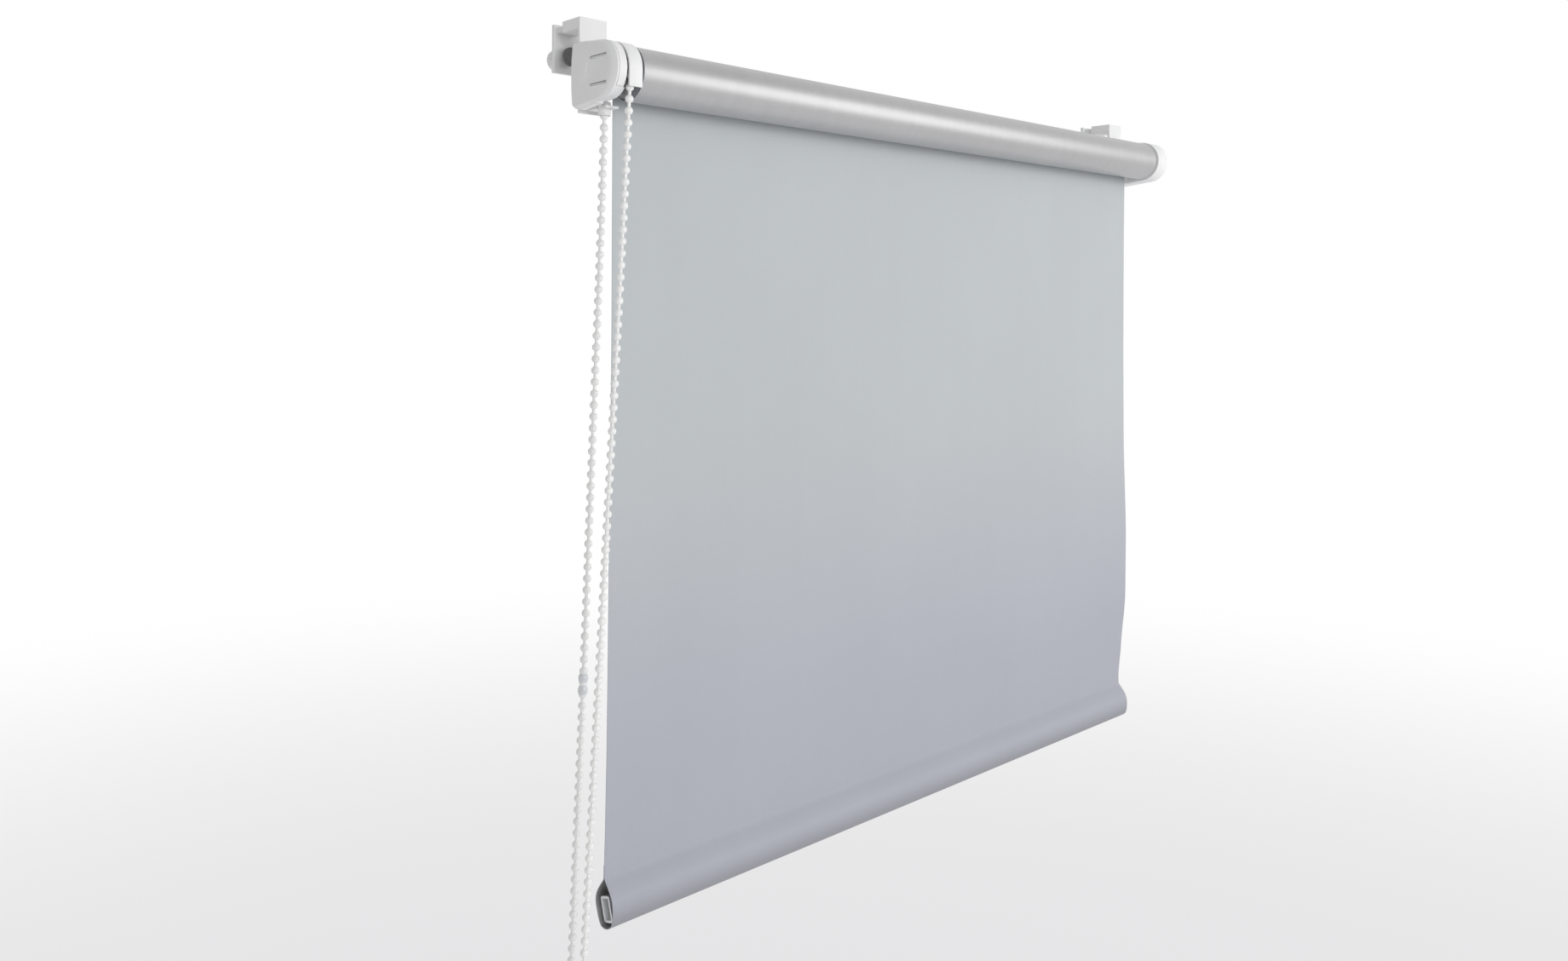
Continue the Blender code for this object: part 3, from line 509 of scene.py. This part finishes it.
chainSet = {
    "beadGap": 0.006,
    "beadRadius": 0.00225,
    "neckRadius": 0.00085,
    "wheelPockets": 12,
    "holderPockets": 9,
    "holderTurn": radians(-14),
    # height over the roll's axis, and share of the way from the wheel's side to the holder's
    "front": [(0.0, 0.0), (-0.080, 0.15), (-0.150, 0.29), (-0.260, 0.52), (-0.370, 0.74),
              (-0.450, 0.90)],
    "rear": [(-0.445, 0.86), (-0.390, 0.74), (-0.3215, 0.585)],
    "upper": [(-0.3100, 0.560), (-0.200, 0.34), (-0.100, 0.13), (-0.030, 0.015), (0.0, 0.0)],
    "step": 0.008,
    "bendSteps": 24,
    "neckSides": 8,
}
connectorSet = {  # distance from the tip or from the waist, and radius
    "tip": [(0.0, 0.0013), (0.0003, 0.0018), (0.0009, 0.0023), (0.0018, 0.0026), (0.0030, 0.0026)],
    "neck": [(0.0018, 0.0024), (0.0009, 0.0019)],
    "waist": 0.0017,
    "sides": 32,
}

wheelRadius = chainSet["beadGap"] / 2 / sin(pi / chainSet["wheelPockets"])
holderRadius = chainSet["beadGap"] / 2 / sin(pi / chainSet["holderPockets"])
wheelCentre = middleOf("chain_over_sprocket")
wheelCentre.y, wheelCentre.z = rollAxis.y, rollAxis.z
holderCentre = middleOf("holder_wheel")


def strandPoint(side, height, share):  # side is -1 in front and 1 behind
    turn = chainSet["holderTurn"]
    top = Vector((wheelCentre.x, rollAxis.y + side * wheelRadius, 0))
    bottom = Vector((holderCentre.x - side * holderRadius * sin(turn),
                     holderCentre.y + side * holderRadius * cos(turn), 0))
    point = top.lerp(bottom, share)
    point.z = rollAxis.z + height
    return point


def holderPoint(angle, radius=holderRadius, across=0.0):
    turn = chainSet["holderTurn"]
    reach = radius * cos(angle)
    return holderCentre + Vector((across * cos(turn) - reach * sin(turn),
                                  across * sin(turn) + reach * cos(turn), radius * sin(angle)))


def smoothPath(route, step):
    ends = [2 * route[0] - route[1], *route, 2 * route[-1] - route[-2]]
    path = [route[0]]
    for before, start, end, after in zip(ends, ends[1:], ends[2:], ends[3:]):
        count = max(1, round((end - start).length / step))
        for number in range(1, count + 1):
            t = number / count
            path.append(0.5 * (
                2 * start + (end - before) * t
                + (2 * before - 5 * start + 4 * end - after) * t ** 2
                + (3 * start - before - 3 * end + after) * t ** 3
            ))
    return path


def beadGrower(count, gap):
    grower = Grower("beadsOnALine", {
        "Beads": count, "Bead radius": chainSet["beadRadius"],
        "Neck radius": chainSet["neckRadius"], "Gap": gap,
    })
    line = grower.add("GeometryNodeMeshToCurve", None, {"Mesh": grower.given("Geometry")})
    whole = grower.add("GeometryNodeCurveLength", None, {"Curve": line})
    half = grower.given("Gap") * 0.5
    middle = grower.add("GeometryNodeTrimCurve", {"mode": "LENGTH"},
                        {"Curve": line, 4: half, 5: whole - half})
    spots = grower.add("GeometryNodeResampleCurve", {"mode": "COUNT"},
                       {"Curve": middle, "Count": grower.given("Beads")})
    ball = grower.add("GeometryNodeMeshIcoSphere", None,
                      {"Radius": grower.given("Bead radius"), "Subdivisions": 2})
    balls = grower.add("GeometryNodeInstanceOnPoints", None, {"Points": spots, "Instance": ball})
    ring = grower.add("GeometryNodeCurvePrimitiveCircle", {"mode": "RADIUS"},
                      {"Resolution": chainSet["neckSides"], "Radius": grower.given("Neck radius")})
    fine = grower.add("GeometryNodeResampleCurve", {"mode": "COUNT"},
                      {"Curve": line, "Count": grower.given("Beads") * 2 + 1})
    neck = grower.add("GeometryNodeCurveToMesh", None,
                      {"Curve": fine, "Profile Curve": ring, "Fill Caps": True})
    grower.finish(grower.join(balls, neck), finishes["bead_white"])
    return grower


def beadsAlong(name, path, *stands):
    length = lengthOf(path)
    count = round(length / chainSet["beadGap"])
    gap = length / count
    mesh = beadGrower(count, gap).grow(name, lineMesh(name + "Line", path))
    mesh.shade_smooth()
    return settle(name, mesh, "bead_white", "root", *stands), gap


def connectorMesh(foot, head):
    along = head - foot
    whole = along.length
    lower = list(connectorSet["tip"])
    lower += [(whole / 2 - away, radius) for away, radius in connectorSet["neck"]]
    upper = [(whole - distance, radius) for distance, radius in reversed(lower)]
    profile = lower + [(whole / 2, connectorSet["waist"])] + upper
    return loftMesh("chainConnector", latheLoops(profile, foot, along.normalized(),
                                                 connectorSet["sides"]), sharp=radians(50))


def makeChain():
    front = smoothPath([strandPoint(-1, *spot) for spot in chainSet["front"]], chainSet["step"])
    steps = chainSet["bendSteps"]
    bend = [holderPoint(pi + pi * step / steps) for step in range(steps + 1)]
    back = smoothPath([strandPoint(1, *spot) for spot in chainSet["rear"] + chainSet["upper"]],
                      chainSet["step"])
    path = front + bend + back
    chain, gap = beadsAlong("beadChain", path, "chain_loop", "chain_rear_strand")
    turns = [pi - pi * step / steps for step in range(steps + 1)]
    over = [wheelCentre + wheelRadius * Vector((0, cos(turn), sin(turn))) for turn in turns]
    wheelBeads = beadsAlong("beadsOverWheel", over, "chain_over_sprocket")[0]
    connector = settle(
        "chainConnector",
        connectorMesh(strandPoint(1, *chainSet["rear"][-1]), strandPoint(1, *chainSet["upper"][0])),
        "clear_plastic", "root", "chain_connector",
    )
    lengthOf(path)
    start = lengthOf(front + bend[:1])
    late = gap / 2 - start % gap  # from there to the next bead
    if late < 0:
        late += gap
    print("chain laid:", round(lengthOf(path), 4), "m")
    return pi + late / holderRadius


holderPhase = makeChain()  # the angle of one bead on the holder's wheel


# Chain wheels with a pocket for each bead

wheelSet = {
    "sprocket": {
        "rows": [(-0.0037, 0.0122), (-0.0034, 0.0126), (-0.0030, 0.0126), (-0.0026, 0.0120),
                 (-0.0022, 0.0117), (-0.0017, 0.0116), (-0.0012, 0.0116), (-0.0007, 0.0116),
                 (-0.0002, 0.0116), (0.0003, 0.0116), (0.0008, 0.0116), (0.0013, 0.0116),
                 (0.0018, 0.0116), (0.0023, 0.0117), (0.0028, 0.0120), (0.0033, 0.0126),
                 (0.0037, 0.0126), (0.0039, 0.0123), (0.0039, 0.0060), (0.0083, 0.0060),
                 (0.0083, 0.0043), (-0.0037, 0.0043)],
        "phase": pi / 12,
    },
    "holder": {
        "rows": [(-0.0037, 0.0094), (-0.0034, 0.0097), (-0.0031, 0.0097), (-0.0026, 0.0092),
                 (-0.0021, 0.0088), (-0.0016, 0.0087), (-0.0011, 0.0087), (-0.0006, 0.0087),
                 (0.0, 0.0087), (0.0006, 0.0087), (0.0011, 0.0087), (0.0016, 0.0087),
                 (0.0021, 0.0088), (0.0026, 0.0092), (0.0031, 0.0097), (0.0034, 0.0097),
                 (0.0037, 0.0094), (0.0037, 0.0018), (-0.0037, 0.0018)],
        "phase": holderPhase,
    },
    "ball": 0.0024,
    "neckHalf": 0.0011,
    "neckDepth": 0.0013,
    "rimDepth": 0.0023,  # what lies deeper than this under the chain's line stays round
    "pocketSteps": 12,
}


def wheelRadiusAt(across, plain, angle, pockets, pitch, phase):
    if plain < pitch - wheelSet["rimDepth"]:
        return plain
    radius = plain
    if abs(across) < wheelSet["neckHalf"]:
        radius = min(radius, pitch - wheelSet["neckDepth"])
    away = (angle - phase + pi / pockets) % (tau / pockets) - pi / pockets
    room = wheelSet["ball"] ** 2 - across ** 2 - (pitch * sin(away)) ** 2
    if room > 0:
        radius = min(radius, pitch * cos(away) - sqrt(room))
    return radius


def wheelMesh(name, kind, pockets, pitch, spot):
    steps = pockets * wheelSet["pocketSteps"]
    loops = []
    for across, plain in wheelSet[kind]["rows"]:
        loop = []
        for step in range(steps):
            angle = tau * step / steps
            radius = wheelRadiusAt(across, plain, angle, pockets, pitch, wheelSet[kind]["phase"])
            loop.append(spot(angle, radius, across))
        loops.append(loop)
    return loftMesh(name, loops, ring=True, sharp=radians(45))


def sprocketPoint(angle, radius, across):
    return wheelCentre + Vector((across, radius * cos(angle), radius * sin(angle)))


settle("chainWheel", wheelMesh("chainWheel", "sprocket", chainSet["wheelPockets"], wheelRadius,
                               sprocketPoint), "grey_plastic", "sprocket", "chain_sprocket")
settle("holderWheel", wheelMesh("holderWheel", "holder", chainSet["holderPockets"], holderRadius,
                                holderPoint), "grey_plastic", "holder_wheel", "holder_wheel")
print("chain wheels cut")


# Fabric

sheetSet = {
    "halfWidth": 0.2490,
    "thickness": 0.00038,
    "rollRadius": 0.01418,  # middle of the cloth where it leaves the roll
    "tuckRadius": 0.01376,  # and where the outer turn tucks under itself
    "tuckAngle": radians(350),
    "stillTo": -0.0145,  # the cloth above this stays with the roll
    "weldTop": -0.4137,
    "tuckSteps": 70,
    "dropSteps": 84,
    "pocketStep": 0.0011,
    "ripples": [(9, 5, 3.1, 0.0006), (24, 11, 8.7, 0.00015)],  # across, down, place, depth
    "rollEase": 0.1,  # the ripples grow over this much cloth under the roll
    "weldEase": 0.05,
    "columns": 64,
    # height and depth from the roll's axis, down the cloth's middle and its two edges
    "middle": [(0.0, 0.01418), (-0.06, 0.01415), (-0.14, 0.01400), (-0.22, 0.01385),
               (-0.30, 0.01380), (-0.35, 0.01410), (-0.39, 0.01530), (-0.4137, 0.01631)],
    "left": [(0.0, 0.01418), (-0.06, 0.01380), (-0.14, 0.01335), (-0.22, 0.01400),
             (-0.30, 0.01450), (-0.35, 0.01490), (-0.39, 0.01560), (-0.4137, 0.01631)],
    "right": [(0.0, 0.01418), (-0.06, 0.01450), (-0.14, 0.01400), (-0.22, 0.01310),
              (-0.30, 0.01070), (-0.35, 0.01080), (-0.39, 0.01420), (-0.4137, 0.01631)],
    # depth and height round the hem's pocket, then up its tail
    "pocket": [(0.0162, -0.4195), (0.0160, -0.4208), (0.0148, -0.4226), (0.0126, -0.4250),
               (0.0097, -0.4289), (0.0085, -0.4326), (0.0083, -0.4370), (0.0087, -0.4407),
               (0.0098, -0.4435), (0.0122, -0.4456), (0.0157, -0.4467), (0.0187, -0.4463),
               (0.0208, -0.4439), (0.0224, -0.4404), (0.0238, -0.4361), (0.0239, -0.4328),
               (0.0226, -0.4292), (0.0198, -0.4251), (0.0178, -0.4226), (0.0168, -0.4210),
               (0.0167, -0.4195)],
    "tail": [(0.0167, -0.4165), (0.0167, -0.4139)],
}


def depthAt(profile, height):  # smooth reading of a list of heights and depths
    for (high, start), (low, end) in zip(profile, profile[1:]):
        if height >= low:
            share = (high - height) / (high - low)
            share = share * share * (3 - 2 * share) * 0.5 + share * 0.5
            return start + (end - start) * share
    return profile[-1][1]


def sheetRoute():  # the cloth's section: place from the roll axis, and whether it hangs free
    route = []
    for step in range(sheetSet["tuckSteps"] + 1):
        share = step / sheetSet["tuckSteps"]
        angle = sheetSet["tuckAngle"] * (1 - share)
        radius = sheetSet["tuckRadius"] + (sheetSet["rollRadius"] - sheetSet["tuckRadius"]) * share
        route.append((radius * cos(angle), radius * sin(angle), False))
    for step in range(sheetSet["dropSteps"]):
        height = sheetSet["weldTop"] * (step + 1) / sheetSet["dropSteps"]
        route.append((depthAt(sheetSet["middle"], height), height, True))
    outline = [Vector((0, *spot)) for spot in sheetSet["pocket"]]
    for point in smoothPath(outline, sheetSet["pocketStep"]):
        route.append((point.y, point.z, False))
    for depth, height in sheetSet["tail"]:
        route.append((depth, height, False))
    return route


def sheetSpot(x, depth, height, hangs):
    if not hangs:
        return depth, height
    across = x / sheetSet["halfWidth"]
    toLeft = max(0.0, -across) ** 3
    toRight = max(0.0, across) ** 4
    depth += (depthAt(sheetSet["left"], height) - depth) * toLeft
    depth += (depthAt(sheetSet["right"], height) - depth) * toRight
    free = min(1.0, -height / sheetSet["rollEase"])
    free *= min(1.0, (height - sheetSet["weldTop"]) / sheetSet["weldEase"])
    for wide, tall, place, deep in sheetSet["ripples"]:
        depth += noise.noise(Vector((x * wide, height * tall, place))) * deep * free
    return depth, height


def clothMesh(name, rows, columns, spotOf, halfWidth, thickness, frontSlot, backSlot):
    lengths = [0.0]
    for before, after in zip(rows, rows[1:]):
        lengths.append(lengths[-1] + hypot(after[0] - before[0], after[1] - before[1]))
    builder = bmesh.new()
    uv = builder.loops.layers.uv.new("cloth")
    front = []
    back = []
    for column in range(columns + 1):
        x = halfWidth * (2 * column / columns - 1)
        spots = [spotOf(x, *row) for row in rows]
        frontLine = []
        backLine = []
        for index, (y, z) in enumerate(spots):
            before = spots[max(index - 1, 0)]
            after = spots[min(index + 1, len(spots) - 1)]
            run = hypot(after[0] - before[0], after[1] - before[1])
            normal = ((after[1] - before[1]) / run, -(after[0] - before[0]) / run)
            for line, side in ((frontLine, 1), (backLine, -1)):
                line.append(builder.verts.new((
                    rollAxis.x + x, rollAxis.y + y + normal[0] * side * thickness / 2,
                    rollAxis.z + z + normal[1] * side * thickness / 2)))
        front.append(frontLine)
        back.append(backLine)

    def patch(corners, slot, places):
        face = builder.faces.new(corners)
        face.material_index = slot
        face.smooth = True
        for loop, place in zip(face.loops, places):
            loop[uv].uv = place

    last = len(rows) - 1
    for column in range(columns):
        xs = [halfWidth * (2 * (column + side) / columns - 1) for side in (0, 1)]
        for row in range(last):
            corners = [(column, row), (column + 1, row), (column + 1, row + 1), (column, row + 1)]
            places = [(xs[0], lengths[row]), (xs[1], lengths[row]),
                      (xs[1], lengths[row + 1]), (xs[0], lengths[row + 1])]
            patch([front[c][r] for c, r in corners], 0, places)
            patch([back[c][r] for c, r in reversed(corners)], 1, places[::-1])
        for row in (0, last):
            places = [(xs[0], lengths[row]), (xs[1], lengths[row])] * 2
            ends = [front[column][row], front[column + 1][row], back[column + 1][row],
                    back[column][row]]
            patch(ends, 0, places)
    for column in (0, columns):
        x = halfWidth * (2 * column / columns - 1)
        for row in range(last):
            places = [(x, lengths[row]), (x, lengths[row + 1])] * 2
            patch([front[column][row], front[column][row + 1], back[column][row + 1],
                   back[column][row]], 0, places)
    mesh = meshOf(name, builder, radians(60))
    mesh.materials.append(finishes[frontSlot])
    mesh.materials.append(finishes[backSlot])
    return mesh, lengths[-1]


def makeSheet():
    mesh, length = clothMesh("blindSheet", sheetRoute(), sheetSet["columns"], sheetSpot,
                             sheetSet["halfWidth"], sheetSet["thickness"], "blind_fabric",
                             "foil_fabric")
    sheet = settle("blindSheet", mesh, "blind_fabric", None, "hanging_fabric", "hem_pocket")
    top = Vector((0, rollAxis.y, rollAxis.z + sheetSet["stillTo"]))
    bottom = Vector((0, rollAxis.y, rollAxis.z + sheetSet["weldTop"]))
    stretchEvenly(sheet, "root", "hem", top, bottom)
    print("sheet hung:", round(length, 4), "m long")


rollSet = {
    "innerRadius": 0.00930,
    "outerRadius": 0.01338,
    "turn": 0.000315,  # from one turn to the next
    "thickness": 0.00029,
    "steps": 48,
    "inset": 0.0002,
    "columns": 2,
}


def makeRoll():
    turns = (rollSet["outerRadius"] - rollSet["innerRadius"]) / rollSet["turn"]
    count = round(turns * rollSet["steps"])
    rows = []
    for step in range(count + 1):
        angle = sheetSet["tuckAngle"] + tau * turns * (1 - step / count)
        radius = rollSet["innerRadius"] + rollSet["turn"] * turns * step / count
        rows.append((radius * cos(angle), radius * sin(angle), False))
    mesh, length = clothMesh("rolledSheet", rows, rollSet["columns"], sheetSpot,
                             sheetSet["halfWidth"] - rollSet["inset"], rollSet["thickness"],
                             "blind_fabric", "foil_fabric")
    roll = settle("rolledSheet", mesh, "foil_fabric", "roller", "wound_fabric")
    print("roll wound:", round(length, 3), "m in", round(turns, 1), "turns")


makeSheet()
makeRoll()


# Clamp screws, with a thread and a ribbed knob

screwSet = {
    "profile": [(0.0, 0.0012), (0.0003, 0.0017), (0.0095, 0.0017), (0.0095, 0.0050),
                (0.0097, 0.0055), (0.0101, 0.0057), (0.0141, 0.0057), (0.0145, 0.0055),
                (0.0147, 0.0050), (0.0147, 0.0036), (0.0142, 0.0033)],
    "steps": 48,
    "threadSteps": 18,
    "threadSides": 6,
    "ribSides": 8,
    "sizes": {"Turns": 9.5, "Thread radius": 0.00165, "Thread length": 0.0088,
              "Thread start": 0.0004, "Crest radius": 0.00036, "Ribs": 24, "Rib radius": 0.00036,
              "Rib length": 0.0037, "Rib ring": 0.0056, "Rib middle": 0.0121},
}


def screwGrower():
    grower = Grower("threadAndRibs", screwSet["sizes"])
    line = grower.add("GeometryNodeCurveSpiral", None, {
        "Resolution": screwSet["threadSteps"], "Rotations": grower.given("Turns"),
        "Start Radius": grower.given("Thread radius"), "End Radius": grower.given("Thread radius"),
        "Height": grower.given("Thread length")})
    ring = grower.add("GeometryNodeCurvePrimitiveCircle", {"mode": "RADIUS"},
                      {"Resolution": screwSet["threadSides"],
                       "Radius": grower.given("Crest radius")})
    thread = grower.add("GeometryNodeCurveToMesh", None,
                        {"Curve": line, "Profile Curve": ring, "Fill Caps": True})
    up = grower.add("ShaderNodeCombineXYZ", None, {"Z": grower.given("Thread start")})
    thread = grower.add("GeometryNodeTransform", None, {"Geometry": thread, "Translation": up})
    spots = grower.add("GeometryNodeMeshCircle", None, {
        "Vertices": grower.given("Ribs"), "Radius": grower.given("Rib ring")})
    rib = grower.add("GeometryNodeMeshCylinder", None, {
        "Vertices": screwSet["ribSides"], "Radius": grower.given("Rib radius"),
        "Depth": grower.given("Rib length")})
    ribs = grower.add("GeometryNodeInstanceOnPoints", None, {"Points": spots, "Instance": rib})
    ribs = grower.add("GeometryNodeRealizeInstances", None, {0: ribs})
    over = grower.add("ShaderNodeCombineXYZ", None, {"Z": grower.given("Rib middle")})
    ribs = grower.add("GeometryNodeTransform", None, {"Geometry": ribs, "Translation": over})
    grower.finish(grower.join(grower.given("Geometry"), thread, ribs), finishes["white_plastic"])
    return grower


def makeScrews():
    grower = screwGrower()
    for side in ("left", "right"):
        node = side + "_clamp_screw"
        name = side + "ClampScrew"
        host = loftMesh(name + "Core", latheLoops(screwSet["profile"], Vector(), Vector((0, 0, 1)),
                                                  screwSet["steps"]))
        mesh = grower.grow(name, host)
        foot = middleOf(node)
        foot.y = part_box(node)[0][1]
        mesh.transform(Matrix.Translation(foot) @ Matrix.Rotation(-pi / 2, 4, "X"))
        mesh.shade_smooth()
        mesh.set_sharp_from_angle(angle=radians(40))
        settle(name, mesh, "white_plastic", bodyOf(node), node)
    print("clamp screws turned")


# The holder's axle, a steel rivet with a domed head

axleSet = {
    "profile": [(-0.0066, 0.0008), (-0.0065, 0.0017), (-0.0063, 0.0024), (-0.0059, 0.0028),
                (-0.0059, 0.0015), (0.0065, 0.0015), (0.0068, 0.0012)],
    "steps": 32,
}


def makeAxle():
    steps = axleSet["steps"]
    loops = [[holderPoint(tau * step / steps, radius, across) for step in range(steps)]
             for across, radius in axleSet["profile"]]
    settle("holderAxle", loftMesh("holderAxle", loops), "steel", bodyOf("holder_axle"),
           "holder_axle")


makeScrews()
makeAxle()


# Hard parts, each with its own name and how far its edges are eased

softenSet = {"mergeWithin": 0.000002, "flatWithin": radians(0.6), "sharpFrom": radians(38)}
edgeSet = {
    "control_cover": ("controlCover", 0.00022), "control_housing": ("controlHousing", 0),
    "chain_guard": ("chainGuard", 0.00025), "idle_bracket": ("idleBracket", 0.00020),
    "idle_cover": ("idleCover", 0.00022), "hem_bar": ("hemBar", 0.00018),
    "left_clamp_carrier": ("leftCarrier", 0.00035),
    "right_clamp_carrier": ("rightCarrier", 0.00035),
    "left_clamp_hook": ("leftHook", 0.00035), "right_clamp_hook": ("rightHook", 0.00035),
    "holder_body": ("holderBody", 0.00030), "left_front_pad": ("leftFrontPad", 0.00015),
    "right_front_pad": ("rightFrontPad", 0.00015), "holder_pad": ("holderPad", 0.00015),
    "left_rear_foot": ("leftRearFoot", 0.00015), "right_rear_foot": ("rightRearFoot", 0.00015),
}


def softened(node, name, width):  # a copy with its edges eased
    builder = bmesh.new()
    builder.from_mesh(nodes[node].data)
    bmesh.ops.remove_doubles(builder, verts=builder.verts, dist=softenSet["mergeWithin"])
    bmesh.ops.dissolve_limit(builder, angle_limit=softenSet["flatWithin"], verts=builder.verts,
                             edges=builder.edges)
    edges = [edge for edge in builder.edges
             if len(edge.link_faces) == 2 and edge.calc_face_angle(0) > softenSet["sharpFrom"]]
    if width:
        bmesh.ops.bevel(builder, geom=edges, offset=width, offset_type="OFFSET", segments=2,
                        profile=0.5, affect="EDGES", clamp_overlap=True)
    return meshOf(name, builder, softenSet["sharpFrom"])


for node, (name, width) in edgeSet.items():
    piece = settle(name, softened(node, name, width), slotOf(node), bodyOf(node), node)


def makeIdleSpring():  # behind the idle pin, which presses it shorter
    seat, tip = (Vector(corner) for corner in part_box("idle_spring"))
    seat.yz = tip.yz = rollAxis.yz
    spring = settle("idleSpring", softened("idle_spring", "idleSpring", 0), "steel", None,
                    "idle_spring")
    stretchEvenly(spring, "roller", "idle_pin", seat, tip)


makeIdleSpring()

for node, part in nodes.items():
    for holder in part.material_slots:
        holder.material = finishes[slotOf(node)]
print("hard parts finished")


# Studio

studioSet = {
    "floorHeight": -1.50,
    "floorReach": 60.0,
    "floorNear": (0.80, 0.79, 0.81, 1),
    "floorGlow": 0.2,
    "fadeFrom": 1.5,  # the floor turns into sky between these distances
    "fadeTo": 5.5,
    "scuffs": 3,
    "skyFront": 1.0,
    "skyBack": 0.54,
    "skyFrom": 0.15,
    "skyTo": 0.65,
    "skyTurn": radians(43),
    "lights": {
        "keyLight": {"place": (-0.45, -2.0, 0.1), "aim": (0, 0, -0.25),
                     "size": 1.1, "power": 14.5},
        "topLight": {"place": (0.64, -0.87, 0.12), "aim": (0.10, 0, -0.05),
                     "size": 0.76, "power": 3.6},
    },
}


def skyStrength(maker, spot):  # bright ahead, dimmer behind
    turn = studioSet["skyTurn"]
    way = maker.add("ShaderNodeVectorMath", {"operation": "NORMALIZE"}, {0: spot})
    ahead = maker.add("ShaderNodeVectorMath", {"operation": "DOT_PRODUCT"},
                      {0: way, 1: (sin(turn), cos(turn), 0)}, "Value")
    low, high = studioSet["skyBack"], studioSet["skyFront"]
    return ahead.ease(studioSet["skyFrom"], studioSet["skyTo"]) * (high - low) + low


def makeFloor():
    reach = studioSet["floorReach"]
    builder = bmesh.new()
    corners = [(-reach, -reach), (reach, -reach), (reach, reach), (-reach, reach)]
    builder.faces.new([builder.verts.new((x, y, studioSet["floorHeight"])) for x, y in corners])
    mesh = bpy.data.meshes.new("floor")
    builder.to_mesh(mesh)
    builder.free()
    paint = Paint("paleFloor", Specular_IOR_Level=0, Emission_Strength=1)
    spot = paint.place()
    away = paint.add("ShaderNodeVectorMath", {"operation": "LENGTH"}, {0: spot}, "Value")
    share = away.ease(studioSet["fadeFrom"], studioSet["fadeTo"])
    scuff = paint.cloud(spot, studioSet["scuffs"], 4)
    far = paint.add("ShaderNodeCombineXYZ", None, {key: skyStrength(paint, spot) for key in "XYZ"})
    mesh.materials.append(paint.lay(
        Base_Color=paint.tint(share, studioSet["floorNear"], grey(0)),
        Emission_Color=paint.tint(share, grey(studioSet["floorGlow"]), far),
        Roughness=0.78 + scuff * 0.1))
    floor = bpy.data.objects.new("floor", mesh)
    bpy.context.scene.collection.objects.link(floor)


def makeSky():
    sky = bpy.data.worlds.new("studioSky")
    bpy.context.scene.world = sky
    sky.use_nodes = True
    maker = Maker(sky.node_tree)
    spot = maker.add("ShaderNodeTexCoord", output="Generated")
    backdrop = sky.node_tree.nodes["Background"]
    maker.feed(backdrop.inputs["Strength"], skyStrength(maker, spot))
    backdrop.inputs["Color"].default_value = grey(1)


def makeLights():
    for name, values in studioSet["lights"].items():
        lamp = bpy.data.lights.new(name, "AREA")
        lamp.shape = "DISK"
        lamp.size = values["size"]
        lamp.energy = values["power"]
        holder = bpy.data.objects.new(name, lamp)
        holder.location = values["place"]
        look = Vector(values["aim"]) - Vector(values["place"])
        holder.rotation_euler = look.to_track_quat("-Z", "Y").to_euler()
        bpy.context.scene.collection.objects.link(holder)


makeFloor()
makeSky()
makeLights()
bpy.context.scene.view_settings.view_transform = "Standard"
print("studio lit")
